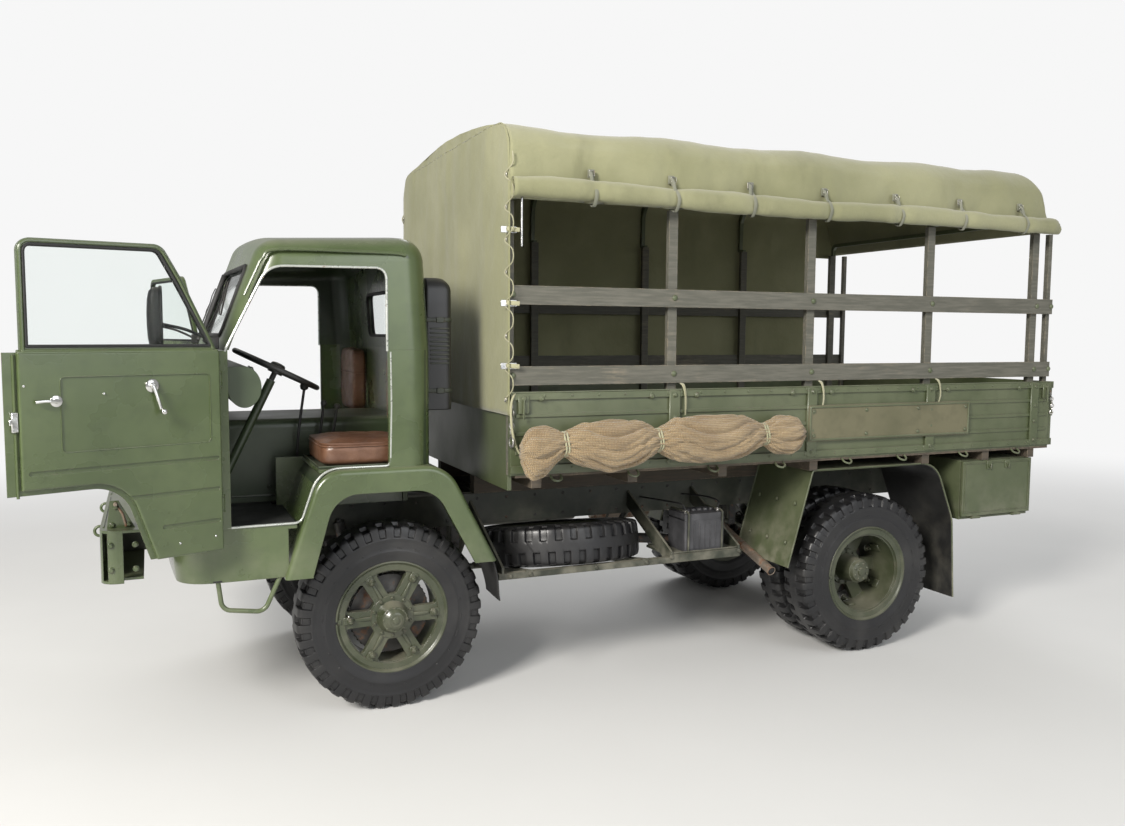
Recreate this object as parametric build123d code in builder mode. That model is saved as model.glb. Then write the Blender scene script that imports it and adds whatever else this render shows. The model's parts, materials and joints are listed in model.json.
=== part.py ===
from build123d import *
from math import cos, radians, sin, tan
import os

# Forward-control military cargo truck with a canvas tilt. Millimetres, +X ahead, +Y left, +Z up.
# Sizes are worked out in the truck's own frame: ground level, centre plane, below the front axle.
# The last step moves every solid so that the origin lies at the middle of the whole object's base.

os.makedirs("parts", exist_ok=True)

# Driving dimensions
ORIGIN_X = -1419.5
ORIGIN_Y = -245.5

WHEELBASE = 2913
TYRE_R = 488
TYRE_W = 224
RIM_FLANGE_R = 292
BEAD_R = 254
RIM_W = 186
FRONT_WHEEL_Y = 706
REAR_OUTER_Y = 916
REAR_INNER_Y = 652
KINGPIN_Y = 600

RAIL_OUT_Y = 375
RAIL_FLANGE = 70
RAIL_BOTTOM = 850
RAIL_TOP = 1030
RAIL_WALL = 8
RAIL_FRONT = 1320
RAIL_REAR = -4300

CAB_REAR = -170
CAB_REAR_LEAN = 36
CAB_HALF = 1015
CAB_WALL = 25
CAB_CORNER_R = 130
FLOOR_TOP = 1050
SEAT_BASE = 1300
BELT = 1870
HEADER_Z = 2330
ROOF_Z = 2478
DOOR_REAR = 30
PILLAR_X = 830
WINDSCREEN_LEAN = 175
WINDSCREEN_VEE = 50

BED_FRONT = -580
BED_REAR = -4360
BED_HALF = 1057
FLOOR_UNDER = 1215
BED_FLOOR_TOP = 1240
SIDE_TOP = 1656
SIDE_T = 28
EAVE_Z = 2620
CROWN_Z = 3085

LEFT_DOOR_OPEN = 159
RIGHT_DOOR_OPEN = 110
DOOR_PIN_X = 836
DOOR_PIN_Y = CAB_HALF + 47
DOOR_IN_Y = CAB_HALF + 7
DOOR_OUT_Y = CAB_HALF + 37
DOOR_SKIN_T = 6
DOOR_SHUT_GAP = 8
WING_OUT_Y = CAB_HALF + 24

GAP = 0.3
BED_CROSS_X = (-700, -1259, -1830, -WHEELBASE + 453, -WHEELBASE - 406, BED_REAR + 537, BED_REAR + 137)
SIDES = (1, -1)


def save(builder, label):
    """Moves a finished solid into the object's frame, names it and writes its file."""
    solid = builder.part.moved(Location((-ORIGIN_X, -ORIGIN_Y, 0)))
    solid.label = label
    export_step(solid, f"parts/{label}.step")


def disc_y(radius, y_low, y_high, x=0, z=TYRE_R, mode=Mode.ADD):
    """A round bar along Y."""
    with BuildSketch(Plane.XZ.offset(-y_high)) as face:
        with Locations((x, z)):
            Circle(radius)
    extrude(face.sketch, amount=y_high - y_low, mode=mode)


def box(x_low, x_high, y_low, y_high, z_low, z_high, mode=Mode.ADD):
    """A block between its six faces."""
    with Locations(((x_low + x_high) / 2, (y_low + y_high) / 2, (z_low + z_high) / 2)):
        Box(x_high - x_low, y_high - y_low, z_high - z_low, mode=mode)


# Chassis frame
CROSSMEMBER_X = (1130, 830, -700, -1700, -2300, -3550, -4260)
SPRING_Y = 325
SPRING_W = 58
FRONT_SPRING_HALF = 470
REAR_SPRING_HALF = 560
SPRING_EYE_Z = 742
TOW_Z = 900
TOW_PIN_R = 20
TOW_X = -4420

with BuildPart() as chassis_frame:
    for side in SIDES:
        with BuildSketch(Plane.YZ.offset(RAIL_REAR)):
            with Locations((side * (RAIL_OUT_Y - RAIL_FLANGE / 2), (RAIL_BOTTOM + RAIL_TOP) / 2)):
                Rectangle(RAIL_FLANGE, RAIL_TOP - RAIL_BOTTOM)
            with Locations((side * (RAIL_OUT_Y - RAIL_FLANGE / 2 - RAIL_WALL), (RAIL_BOTTOM + RAIL_TOP) / 2)):
                Rectangle(RAIL_FLANGE, RAIL_TOP - RAIL_BOTTOM - 2 * RAIL_WALL, mode=Mode.SUBTRACT)
        extrude(amount=RAIL_FRONT - RAIL_REAR)
    cross_half = RAIL_OUT_Y - RAIL_WALL
    for x in CROSSMEMBER_X:
        box(x - 30, x + 30, -cross_half, cross_half, RAIL_BOTTOM + 30, RAIL_TOP - 30)
    # columns: axle x, half length between the spring eyes
    for axle_x, half in ((0, FRONT_SPRING_HALF), (-WHEELBASE, REAR_SPRING_HALF)):
        for side in SIDES:
            for end in SIDES:
                x = axle_x + end * half
                y = side * SPRING_Y
                box(x - 32, x + 32, y - SPRING_W / 2, y + SPRING_W / 2, SPRING_EYE_Z + 14, RAIL_BOTTOM)
    box(RAIL_REAR - 20, RAIL_REAR, -500, 500, RAIL_BOTTOM, RAIL_TOP)
    box(TOW_X + 20, RAIL_REAR - 20, -60, 60, TOW_Z - 50, TOW_Z + 50)
    with BuildSketch(Plane.XY.offset(TOW_Z - 50)):
        with Locations((TOW_X, 0)):
            Circle(60)
        with Locations((TOW_X + 30, 0)):
            Rectangle(60, 120)
    extrude(amount=100)
    box(TOW_X - 70, TOW_X + 30, -61, 61, TOW_Z - 28, TOW_Z + 28, mode=Mode.SUBTRACT)
    with BuildSketch(Plane.XY.offset(TOW_Z - 50)):
        with Locations((TOW_X, 0)):
            Circle(TOW_PIN_R)
    extrude(amount=100, mode=Mode.SUBTRACT)
save(chassis_frame, "chassis_frame")

# Front bumper
BUMPER_FRONT = 1345
BUMPER_BACK = 1170
BUMPER_HALF = 1000
BUMPER_LOW = 836
BUMPER_HIGH = 1075
BUMPER_T = 12
BRACKET_Y = 930
BRACKET_T = 8
BRACKET_H = 125

with BuildPart() as front_bumper:
    with BuildSketch(Plane.XY.offset(BUMPER_LOW)):
        with Locations(((BUMPER_FRONT + BUMPER_BACK) / 2, 0)):
            Rectangle(BUMPER_FRONT - BUMPER_BACK, 2 * BUMPER_HALF)
    extrude(amount=BUMPER_HIGH - BUMPER_LOW)
    front_corners = front_bumper.edges().filter_by(Axis.Z).group_by(Axis.X)[-1]
    fillet(front_corners, radius=70)
    with BuildSketch(Plane.XY.offset(BUMPER_LOW + BUMPER_T)):
        with Locations(((BUMPER_FRONT + BUMPER_BACK) / 2 - BUMPER_T, 0)):
            Rectangle(BUMPER_FRONT - BUMPER_BACK, 2 * BUMPER_HALF - 2 * BUMPER_T)
    extrude(amount=BUMPER_HIGH - BUMPER_LOW - 2 * BUMPER_T, mode=Mode.SUBTRACT)
    box(BUMPER_BACK - 1, BUMPER_BACK + 80, -BUMPER_HALF - 1, -BUMPER_HALF + 60,
        BUMPER_LOW - 1, BUMPER_HIGH - BUMPER_T, mode=Mode.SUBTRACT)
    box(BUMPER_BACK - 1, BUMPER_BACK + 80, BUMPER_HALF - 60, BUMPER_HALF + 1,
        BUMPER_LOW - 1, BUMPER_HIGH - BUMPER_T, mode=Mode.SUBTRACT)
    box(RAIL_FRONT, BUMPER_FRONT - BUMPER_T, -RAIL_OUT_Y, RAIL_OUT_Y, RAIL_BOTTOM + 10, RAIL_TOP - 10)
    # bracket plate on each end
    for side in SIDES:
        with BuildSketch(Plane.XZ.offset(-side * BRACKET_Y - BRACKET_T / 2)):
            with BuildLine():
                Polyline((BUMPER_BACK + 30, BUMPER_HIGH - 1), (BUMPER_FRONT - 30, BUMPER_HIGH - 1),
                         (BUMPER_FRONT - 45, BUMPER_HIGH + BRACKET_H),
                         (BUMPER_FRONT - 80, BUMPER_HIGH + BRACKET_H),
                         close=True)
            make_face()
        extrude(amount=BRACKET_T)
save(front_bumper, "front_bumper")

# Axles
AXLE_TUBE_R = 52
DIFF_Y = -130
DIFF_R = 150
DIFF_NOSE_FRONT = 230
DIFF_NOSE_REAR = 240
KINGPIN_R = 18
AXLE_BOSS_R = 40
AXLE_BOSS_HALF = 95
REAR_SPINDLE_R = 45
REAR_SPINDLE_END = (REAR_OUTER_Y + REAR_INNER_Y) / 2 + 92
SPRING_SEAT_TOP = TYRE_R + 62

with BuildPart() as front_axle:
    disc_y(AXLE_TUBE_R, -KINGPIN_Y, KINGPIN_Y)
    with Locations((0, DIFF_Y, TYRE_R)):
        Sphere(DIFF_R)
    with BuildSketch(Plane.YZ.offset(-DIFF_NOSE_FRONT)):
        with Locations((DIFF_Y, TYRE_R)):
            Circle(55)
    extrude(amount=DIFF_NOSE_FRONT)
    for side in SIDES:
        with Locations((0, side * KINGPIN_Y, TYRE_R)):
            Cylinder(AXLE_BOSS_R, 2 * AXLE_BOSS_HALF)
            Cylinder(KINGPIN_R, 2 * AXLE_BOSS_HALF + 70)
        box(-55, 55, side * SPRING_Y - 35, side * SPRING_Y + 35, TYRE_R, SPRING_SEAT_TOP)
save(front_axle, "front_axle")

with BuildPart() as rear_axle:
    disc_y(AXLE_TUBE_R, -560, 560, x=-WHEELBASE)
    disc_y(REAR_SPINDLE_R, -REAR_SPINDLE_END, REAR_SPINDLE_END, x=-WHEELBASE)
    with Locations((-WHEELBASE, DIFF_Y, TYRE_R)):
        Sphere(DIFF_R + 15)
    with BuildSketch(Plane.YZ.offset(-WHEELBASE)):
        with Locations((DIFF_Y, TYRE_R)):
            Circle(60)
    extrude(amount=DIFF_NOSE_REAR)
    for side in SIDES:
        box(-WHEELBASE - 60, -WHEELBASE + 60, side * SPRING_Y - 35, side * SPRING_Y + 35,
            TYRE_R, SPRING_SEAT_TOP)
save(rear_axle, "rear_axle")

# Leaf springs: concentric leaves, longest on top
LEAF_T = 11
LEAF_COUNT = 6

with BuildPart() as leaf_springs:
    # columns: axle x, half length of the main leaf
    for axle_x, half in ((0, FRONT_SPRING_HALF), (-WHEELBASE, REAR_SPRING_HALF)):
        sag = SPRING_EYE_Z - LEAF_T - (SPRING_SEAT_TOP + (LEAF_COUNT - 1) * LEAF_T)
        bow_r = (half * half + sag * sag) / (2 * sag)
        centre_z = SPRING_SEAT_TOP + (LEAF_COUNT - 1) * LEAF_T + bow_r
        for side in SIDES:
            for leaf in range(LEAF_COUNT):
                reach = half * (1 - 0.15 * leaf)
                r_in = bow_r + (leaf - 1) * LEAF_T
                r_out = bow_r + leaf * LEAF_T
                with BuildSketch(Plane.XZ.offset(-side * SPRING_Y - SPRING_W / 2)):
                    with Locations((axle_x, centre_z)):
                        Circle(r_out)
                        Circle(r_in, mode=Mode.SUBTRACT)
                    with Locations((axle_x, centre_z - bow_r)):
                        Rectangle(2 * reach, 2 * sag + 4 * LEAF_COUNT * LEAF_T, mode=Mode.INTERSECT)
                extrude(amount=SPRING_W)
            for end in SIDES:
                disc_y(20, side * SPRING_Y - SPRING_W / 2, side * SPRING_Y + SPRING_W / 2,
                       x=axle_x + end * half, z=SPRING_EYE_Z - 6)
save(leaf_springs, "leaf_springs")

# Engine, gearbox and drive shafts
ENGINE_BACK = -60
ENGINE_FRONT = 740
COVER_FRONT = 900
TRANSFER_Z = 690

with BuildPart() as engine:
    box(ENGINE_BACK, ENGINE_FRONT, -250, 250, 790, 1400)
    # radiator behind the grille
    box(COVER_FRONT + 5, COVER_FRONT + 60, -370, 370, FLOOR_TOP, 1560)
    # gearbox casing: x, middle z and radius of its two ends
    for x, z, radius in ((ENGINE_BACK, 890, 130), (-540, 880, 90)):
        with BuildSketch(Plane.YZ.offset(x)):
            with Locations((0, z)):
                Circle(radius)
    loft()
    box(-620, -470, -250, 60, 720, 990)
    box(-640, -460, -250, -60, 600, 800)
    # columns: shaft's start x, end x, x of the axle's flange face, way the flange lies
    for start_x, end_x, flange_x, away in (
        (-460, -262, -DIFF_NOSE_FRONT, -1),
        (-640, -WHEELBASE + DIFF_NOSE_REAR + 12, -WHEELBASE + DIFF_NOSE_REAR, 1),
    ):
        run = Vector(end_x - start_x, 0, TYRE_R - TRANSFER_Z)
        with BuildSketch(Plane(origin=(start_x, DIFF_Y, TRANSFER_Z), z_dir=run)):
            Circle(34)
        extrude(amount=run.length)
        with BuildSketch(Plane.YZ.offset(flange_x)):
            with Locations((DIFF_Y, TYRE_R)):
                Circle(56)
        extrude(amount=away * 18)
save(engine, "engine_and_driveline")

# Lower cab: floor, wings, rear wall, nose
ARCH_OUT = ((560, 800), (392, 1300), (-232, 1300), (-490, 794))
ARCH_IN = ((432, 800), (325, 1180), (-165, 1180), (-372, 794))
ARCH_FILLET_OUT = (150, 195)
ARCH_FILLET_IN = (150, 165)
ARCH_INNER_Y = 455
WING_T = 18
WING_EDGE_R = 26
APRON_LOW = 800
SILL_OUT_Y = CAB_HALF - 10
NOSE_SECTIONS = (
    # z, front x at the middle, half width, corner radius
    (APRON_LOW, 1065, CAB_HALF - 13, 150),
    (1060, 1080, CAB_HALF - 7, 150),
    (1480, 1040, CAB_HALF - 3, 130),
    (BELT, 945, CAB_HALF, 80),
)
NOSE_CROWN = 30


def nose_face(z, front, half, corner, inset):
    """One level section of the nose, closed along the front pillars' plane."""
    back = PILLAR_X - inset * 2
    front -= inset
    half -= inset
    side_end = front - NOSE_CROWN - corner
    with BuildSketch(Plane.XY.offset(z)) as section:
        with BuildLine():
            for side in SIDES:
                Line((back, side * half), (side_end, side * half))
                ThreePointArc(
                    (side_end, side * half),
                    (side_end + corner * sin(radians(45)),
                     side * (half - corner * (1 - cos(radians(45))))),
                    (front - NOSE_CROWN, side * (half - corner)),
                )
            Line((back, half), (back, -half))
            ThreePointArc(
                (front - NOSE_CROWN, half - corner),
                (front, 0),
                (front - NOSE_CROWN, -half + corner),
            )
        make_face()
    return section.sketch.face()


def arch_sketch(points, corner_r, z_floor):
    """The outline of a wheel arch, open towards the ground."""
    with BuildLine() as outline:
        FilletPolyline(*points, radius=corner_r)
        Polyline(points[-1], (points[-1][0], z_floor), (points[0][0], z_floor), points[0])
    make_face(outline.edges())


NOSE_FLOOR_FRONT = 1045
GRILLE_LOW = 1170
GRILLE_HIGH = 1530
GRILLE_HALF = 400
GRILLE_SLOTS = 9
HEADLAMP_Y = 690
HEADLAMP_Z = 1290
HEADLAMP_R = 105
STEP_TUBE_R = 11
STEP_Y = CAB_HALF - 25
MIRROR_X = 1082
MIRROR_Y = CAB_HALF - 14
MIRROR_ARM_Z = 1600
MIRROR_LOW = 1868
MIRROR_TUBE_R = 9
BARREL_R = 13
HINGE_Z = (1180, 1740)
HINGE_PIN_R = 6
RUN_FIT = 0.05

# one wing, drawn on the left: outer skin over the wheel with its rolled edge and inner lip
skin_points = tuple(
    (x + dx * WING_T, z - dz * WING_T)
    for (x, z), (dx, dz) in zip(ARCH_OUT, ((-1, 0), (-1, 1), (1, 1), (1, 0)))
)
with BuildPart() as wing:
    with BuildSketch(Plane.XZ.offset(-WING_OUT_Y)):
        arch_sketch(ARCH_OUT, ARCH_FILLET_OUT, APRON_LOW - 10)
    extrude(amount=WING_OUT_Y - ARCH_INNER_Y)
    outer_face = wing.faces().sort_by(Axis.Y)[-1]
    fillet(outer_face.edges().filter_by(lambda edge: edge.center().Z > APRON_LOW), radius=WING_EDGE_R)
    with BuildSketch(Plane.XZ.offset(-WING_OUT_Y + WING_T)):
        arch_sketch(skin_points, tuple(r - WING_T for r in ARCH_FILLET_OUT), APRON_LOW - 20)
    extrude(amount=WING_OUT_Y - WING_T - ARCH_INNER_Y, mode=Mode.SUBTRACT)
    with BuildSketch(Plane.XZ.offset(-WING_OUT_Y - 1)):
        arch_sketch(ARCH_IN, ARCH_FILLET_IN, APRON_LOW - 20)
    extrude(amount=WING_OUT_Y - ARCH_INNER_Y + 1, mode=Mode.SUBTRACT)

with BuildPart() as cab_lower:
    loft([nose_face(z, front, half, corner, 0) for z, front, half, corner in NOSE_SECTIONS])
    hollow = []
    for z, front, half, corner in NOSE_SECTIONS:
        level = z - 5 if z == APRON_LOW else min(z, BELT - CAB_WALL)
        hollow.append(nose_face(level, front, half, corner, CAB_WALL))
    loft(hollow, mode=Mode.SUBTRACT)
    box(PILLAR_X + 60, NOSE_FLOOR_FRONT, -CAB_HALF + 85, CAB_HALF - 85, RAIL_TOP, FLOOR_TOP)
    add(wing.part)
    add(mirror(wing.part, about=Plane.XZ))
    # rear wall and side panels behind the doors, with rounded corners
    with BuildSketch(Plane.XY.offset(SEAT_BASE - WING_T)):
        for half, rear, radius, mode in (
            (CAB_HALF, CAB_REAR, CAB_CORNER_R, Mode.ADD),
            (CAB_HALF - CAB_WALL, CAB_REAR + CAB_WALL, CAB_CORNER_R - CAB_WALL, Mode.SUBTRACT),
        ):
            with BuildLine():
                FilletPolyline((DOOR_REAR + 30, half), (rear, half), (rear, -half), (DOOR_REAR + 30, -half),
                               radius=radius)
                Line((DOOR_REAR + 30, -half), (DOOR_REAR + 30, half))
            make_face(mode=mode)
    extrude(amount=BELT - SEAT_BASE + WING_T)
    for side in SIDES:
        # sill and apron side, from the wing to the nose
        sill_out = side * SILL_OUT_Y
        box(540, PILLAR_X + 60, min(sill_out, sill_out - side * WING_T), max(sill_out, sill_out - side * WING_T),
            APRON_LOW, FLOOR_TOP)
        box(500, 560, min(side * ARCH_INNER_Y, sill_out), max(side * ARCH_INNER_Y, sill_out),
            RAIL_TOP, FLOOR_TOP)
        # floor beside the tunnel
        box(548, PILLAR_X + 60, min(side * 300, sill_out), max(side * 300, sill_out), RAIL_TOP, FLOOR_TOP)
        # inner wheel-house wall, clear of the rail
        box(-140, 530, min(side * ARCH_INNER_Y, side * (ARCH_INNER_Y - WING_T)),
            max(side * ARCH_INNER_Y, side * (ARCH_INNER_Y - WING_T)), RAIL_TOP, SEAT_BASE)
        # front pillar foot
        box(PILLAR_X - 35, PILLAR_X + 10, min(side * CAB_HALF, side * (CAB_HALF - CAB_WALL)),
            max(side * CAB_HALF, side * (CAB_HALF - CAB_WALL)), FLOOR_TOP - 5, BELT)
        # seat base
        seat_out = side * (CAB_HALF - CAB_WALL)
        box(CAB_REAR + CAB_WALL - 1, 392, min(side * (ARCH_INNER_Y - WING_T), seat_out),
            max(side * (ARCH_INNER_Y - WING_T), seat_out), SEAT_BASE - WING_T, SEAT_BASE)
        # stirrup step
        with BuildLine(Plane.XZ.offset(-side * STEP_Y)) as step_path:
            FilletPolyline((860, APRON_LOW + 20), (842, 668), (655, 640), (572, APRON_LOW + 20), radius=50)
        with BuildSketch(Plane(origin=step_path.line @ 0, z_dir=step_path.line % 0)):
            Circle(STEP_TUBE_R)
        sweep(path=step_path.line)
        # mirror arm
        with BuildLine(Plane.XZ.offset(-side * MIRROR_Y)) as arm_path:
            FilletPolyline((850, MIRROR_ARM_Z), (MIRROR_X, MIRROR_ARM_Z), (MIRROR_X, MIRROR_LOW), radius=50)
        with BuildSketch(Plane(origin=arm_path.line @ 0, z_dir=arm_path.line % 0)):
            Circle(MIRROR_TUBE_R)
        sweep(path=arm_path.line)
        # hinge pins with their ears
        for z in HINGE_Z:
            with Locations((DOOR_PIN_X, side * DOOR_PIN_Y, z)):
                Cylinder(HINGE_PIN_R, 86)
            for end in SIDES:
                with BuildSketch(Plane.XY.offset(z + end * 36 - 6)):
                    with Locations((DOOR_PIN_X, side * DOOR_PIN_Y)):
                        Circle(BARREL_R)
                    with Locations((DOOR_PIN_X + 12, side * (DOOR_PIN_Y + CAB_HALF - 20) / 2)):
                        Rectangle(22, DOOR_PIN_Y - CAB_HALF + 20)
                extrude(amount=12)
    # rear wall between the wheel houses
    box(CAB_REAR, CAB_REAR + CAB_WALL, -ARCH_INNER_Y, ARCH_INNER_Y, RAIL_TOP, SEAT_BASE)
    # grille slots
    slot_pitch = (GRILLE_HIGH - GRILLE_LOW) / GRILLE_SLOTS
    for slot in range(GRILLE_SLOTS):
        slot_z = GRILLE_LOW + (slot + 0.5) * slot_pitch
        box(950, 1120, -GRILLE_HALF, GRILLE_HALF, slot_z - 0.3 * slot_pitch, slot_z + 0.3 * slot_pitch,
            mode=Mode.SUBTRACT)
    for side in SIDES:
        # way through the nose for the frame rails
        box(950, 1120, side * RAIL_OUT_Y - 90, side * RAIL_OUT_Y + 90, APRON_LOW - 10, RAIL_TOP,
            mode=Mode.SUBTRACT)
        with BuildSketch(Plane.YZ.offset(900)):
            with Locations((side * HEADLAMP_Y, HEADLAMP_Z)):
                Circle(HEADLAMP_R)
        extrude(amount=250, mode=Mode.SUBTRACT)
save(cab_lower, "cab_lower")

# Upper cab: pillars, roof, rear wall
ROOF_EDGE_R = 118
ROOF_TILT = 2.6
ROOF_SAG = 70
PILLAR_R = 122
REAR_WINDOW = (760, 250, 2060)
DOOR_HOLE = (
    # x, z around the door opening above the belt
    (64, BELT - 5), (64, 2264), (612, 2258), (808, BELT - 5),
)
DOOR_HOLE_R = (58, 120)


def cab_block(inset):
    """The cab above the belt as a solid: leaning screen and rear wall, crowned roof, rounded edges."""
    half = CAB_HALF - inset
    front_low = PILLAR_X + WINDSCREEN_VEE + 5
    rear = CAB_REAR + inset
    rise = ROOF_Z + 40 - BELT
    rear_top = rear + CAB_REAR_LEAN * rise / (ROOF_Z - BELT)
    front_top = front_low - WINDSCREEN_LEAN * rise / (HEADER_Z - BELT)
    with BuildPart() as block:
        with BuildSketch(Plane.XZ.offset(-half)):
            with BuildLine():
                Polyline((rear, BELT), (front_low, BELT), (front_top, BELT + rise), (rear_top, BELT + rise),
                         close=True)
            make_face()
        extrude(amount=2 * half)
        # crown of the roof, a little higher at the rear
        crown = Plane(origin=(CAB_REAR, 0, ROOF_Z - inset), x_dir=(0, 1, 0),
                      z_dir=(cos(radians(ROOF_TILT)), 0, -sin(radians(ROOF_TILT))))
        with BuildSketch(crown.offset(-60)) as section:
            with BuildLine():
                ThreePointArc((-CAB_HALF, -ROOF_SAG), (0, 0), (CAB_HALF, -ROOF_SAG))
                Polyline((CAB_HALF, -ROOF_SAG), (CAB_HALF, -900), (-CAB_HALF, -900), (-CAB_HALF, -ROOF_SAG))
            make_face()
        extrude(section.sketch, amount=1300, mode=Mode.INTERSECT)
        cut_vee(inset)
        upright = block.edges().filter_by(lambda edge: edge.bounding_box().size.Z > 200)
        corners = upright.filter_by(lambda edge: abs(edge.center().Y) > half - 5)
        fillet(corners.filter_by(lambda edge: edge.center().X < 300), radius=CAB_CORNER_R - inset)
        upright = block.edges().filter_by(lambda edge: edge.bounding_box().size.Z > 200)
        corners = upright.filter_by(lambda edge: abs(edge.center().Y) > half - 5)
        fillet(corners.filter_by(lambda edge: edge.center().X > 300), radius=PILLAR_R - inset)
        roof = block.faces().sort_by(Axis.Z)[-1]
        fillet(roof.edges(), radius=ROOF_EDGE_R - inset)
    return block.part


def pane_plane(side, inset):
    """Plane of one half of the windscreen, with its normal pointing out of the cab."""
    across = Vector(-WINDSCREEN_VEE, side * CAB_HALF, 0)
    up = Vector(-WINDSCREEN_LEAN, 0, HEADER_Z - BELT)
    normal = across.cross(up) if side > 0 else up.cross(across)
    normal = normal.normalized()
    base = Vector(PILLAR_X + WINDSCREEN_VEE, 0, BELT) - normal * inset
    return Plane(origin=base, x_dir=across.normalized() * side, z_dir=normal)


def cut_vee(inset):
    """Trims the front of the cab to the two planes of the windscreen."""
    for side in SIDES:
        with BuildSketch(pane_plane(side, inset)) as beyond:
            Rectangle(3 * CAB_HALF, 3 * CAB_HALF)
        extrude(beyond.sketch, amount=300, mode=Mode.SUBTRACT)


PANE_SIDE = 75
PANE_W = 800
PANE_LOW = 70
PANE_HIGH = 420
PANE_T = 6

with BuildPart() as cab_upper:
    add(cab_block(0))
    add(cab_block(CAB_WALL), mode=Mode.SUBTRACT)
    for side in SIDES:
        with BuildSketch(Plane.XZ.offset(-side * CAB_HALF - 60)):
            with BuildLine():
                FilletPolyline(*DOOR_HOLE, radius=DOOR_HOLE_R)
                Line(DOOR_HOLE[-1], DOOR_HOLE[0])
            make_face()
        extrude(amount=120, mode=Mode.SUBTRACT)
        with BuildSketch(pane_plane(side, CAB_WALL + 30)):
            with Locations((side * (PANE_SIDE + PANE_W / 2), (PANE_LOW + PANE_HIGH) / 2)):
                RectangleRounded(PANE_W, PANE_HIGH - PANE_LOW, 45)
        extrude(amount=CAB_WALL + 60, mode=Mode.SUBTRACT)
    with BuildSketch(Plane.YZ.offset(CAB_REAR - 20)):
        with Locations((0, REAR_WINDOW[2])):
            RectangleRounded(REAR_WINDOW[0], REAR_WINDOW[1], 50)
    extrude(amount=80, mode=Mode.SUBTRACT)
save(cab_upper, "cab_upper")

with BuildPart() as windows:
    for side in SIDES:
        with BuildSketch(pane_plane(side, CAB_WALL / 2 + PANE_T / 2)):
            with Locations((side * (PANE_SIDE + PANE_W / 2), (PANE_LOW + PANE_HIGH) / 2)):
                RectangleRounded(PANE_W, PANE_HIGH - PANE_LOW, 45)
        extrude(amount=PANE_T)
    with BuildSketch(Plane.YZ.offset(CAB_REAR + 9)):
        with Locations((0, REAR_WINDOW[2])):
            RectangleRounded(REAR_WINDOW[0], REAR_WINDOW[1], 50)
    extrude(amount=PANE_T)
save(windows, "windows")

# Lamps
TAIL_LAMP_Y = 880

with BuildPart() as lamps:
    for side in SIDES:
        with BuildSketch(Plane.YZ.offset(985)):
            with Locations((side * HEADLAMP_Y, HEADLAMP_Z)):
                Circle(HEADLAMP_R)
        extrude(amount=85)
        with Locations((BED_CROSS_X[-1] - 28 - 25, side * TAIL_LAMP_Y, 1120)):
            Box(50, 170, 90)
save(lamps, "lamps")

# Things inside the cab
COVER_HALF = 330
COVER_TOP = 1490

with BuildPart() as engine_cover:
    box(CAB_REAR + CAB_WALL, COVER_FRONT, -COVER_HALF, COVER_HALF, FLOOR_TOP, COVER_TOP)
    fillet(engine_cover.edges().filter_by(Axis.X).group_by(Axis.Z)[-1], radius=45)
    box(CAB_REAR + CAB_WALL + 1, COVER_FRONT + 1, -COVER_HALF + 14, COVER_HALF - 14, FLOOR_TOP - 1,
        COVER_TOP - 14, mode=Mode.SUBTRACT)
save(engine_cover, "engine_cover")

SEAT_WIDTH = 500
SEAT_IN_Y = 450
BACKREST_WIDTH = CAB_HALF - CAB_CORNER_R - SEAT_IN_Y
CUSHION_H = 150
with BuildPart() as seats:
    for side in SIDES:
        with BuildSketch(Plane.XZ.offset(-max(side * SEAT_IN_Y, side * (SEAT_IN_Y + SEAT_WIDTH)))):
            with Locations((150, SEAT_BASE + CUSHION_H / 2 + GAP)):
                RectangleRounded(450, CUSHION_H, 60)
        extrude(amount=SEAT_WIDTH)
        far_y = max(side * SEAT_IN_Y, side * (SEAT_IN_Y + BACKREST_WIDTH))
        backrest = (CAB_REAR + CAB_WALL + 50 + GAP, far_y, SEAT_BASE + 360)
        with BuildSketch(Plane(origin=backrest, x_dir=(1, 0, 0), z_dir=(0, -1, 0))):
            RectangleRounded(100, 400, 45)
        extrude(amount=BACKREST_WIDTH)
save(seats, "seats")

STEER_Y = 560
HUB_X = 530
HUB_Z = 1765
COLUMN_FOOT_Z = FLOOR_TOP
COLUMN_LEAN = 26
COLUMN_FOOT_X = HUB_X + (HUB_Z - COLUMN_FOOT_Z) * tan(radians(COLUMN_LEAN))
COLUMN_R = 22
RIM_TUBE_R = 13
HAND_R = 220
column_run = Vector(COLUMN_FOOT_X - HUB_X, 0, COLUMN_FOOT_Z - HUB_Z)
column_down = column_run.normalized()

with BuildPart() as dashboard:
    with BuildSketch(Plane.XZ.offset(-CAB_HALF + CAB_WALL)):
        with Locations((722, 1700)):
            Ellipse(75, 95)
        with Locations((780, 1750)):
            Rectangle(90, 90)
    extrude(amount=2 * (CAB_HALF - CAB_WALL))
    column_start = Vector(HUB_X, STEER_Y, HUB_Z) + column_down * 60
    with BuildSketch(Plane(origin=column_start, z_dir=column_down)):
        Circle(COLUMN_R)
    extrude(amount=column_run.length - 60 - COLUMN_R * tan(radians(COLUMN_LEAN)))
    # columns: pedal's middle y, reach
    for pedal_y, pedal_x in ((690, 850), (460, 850), (378, 850)):
        box(pedal_x - 12, pedal_x + 12, pedal_y - 12, pedal_y + 12, FLOOR_TOP, 1190)
        box(pedal_x - 20, pedal_x - 8, pedal_y - 32, pedal_y + 32, 1160, 1225)
save(dashboard, "dashboard")

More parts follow.
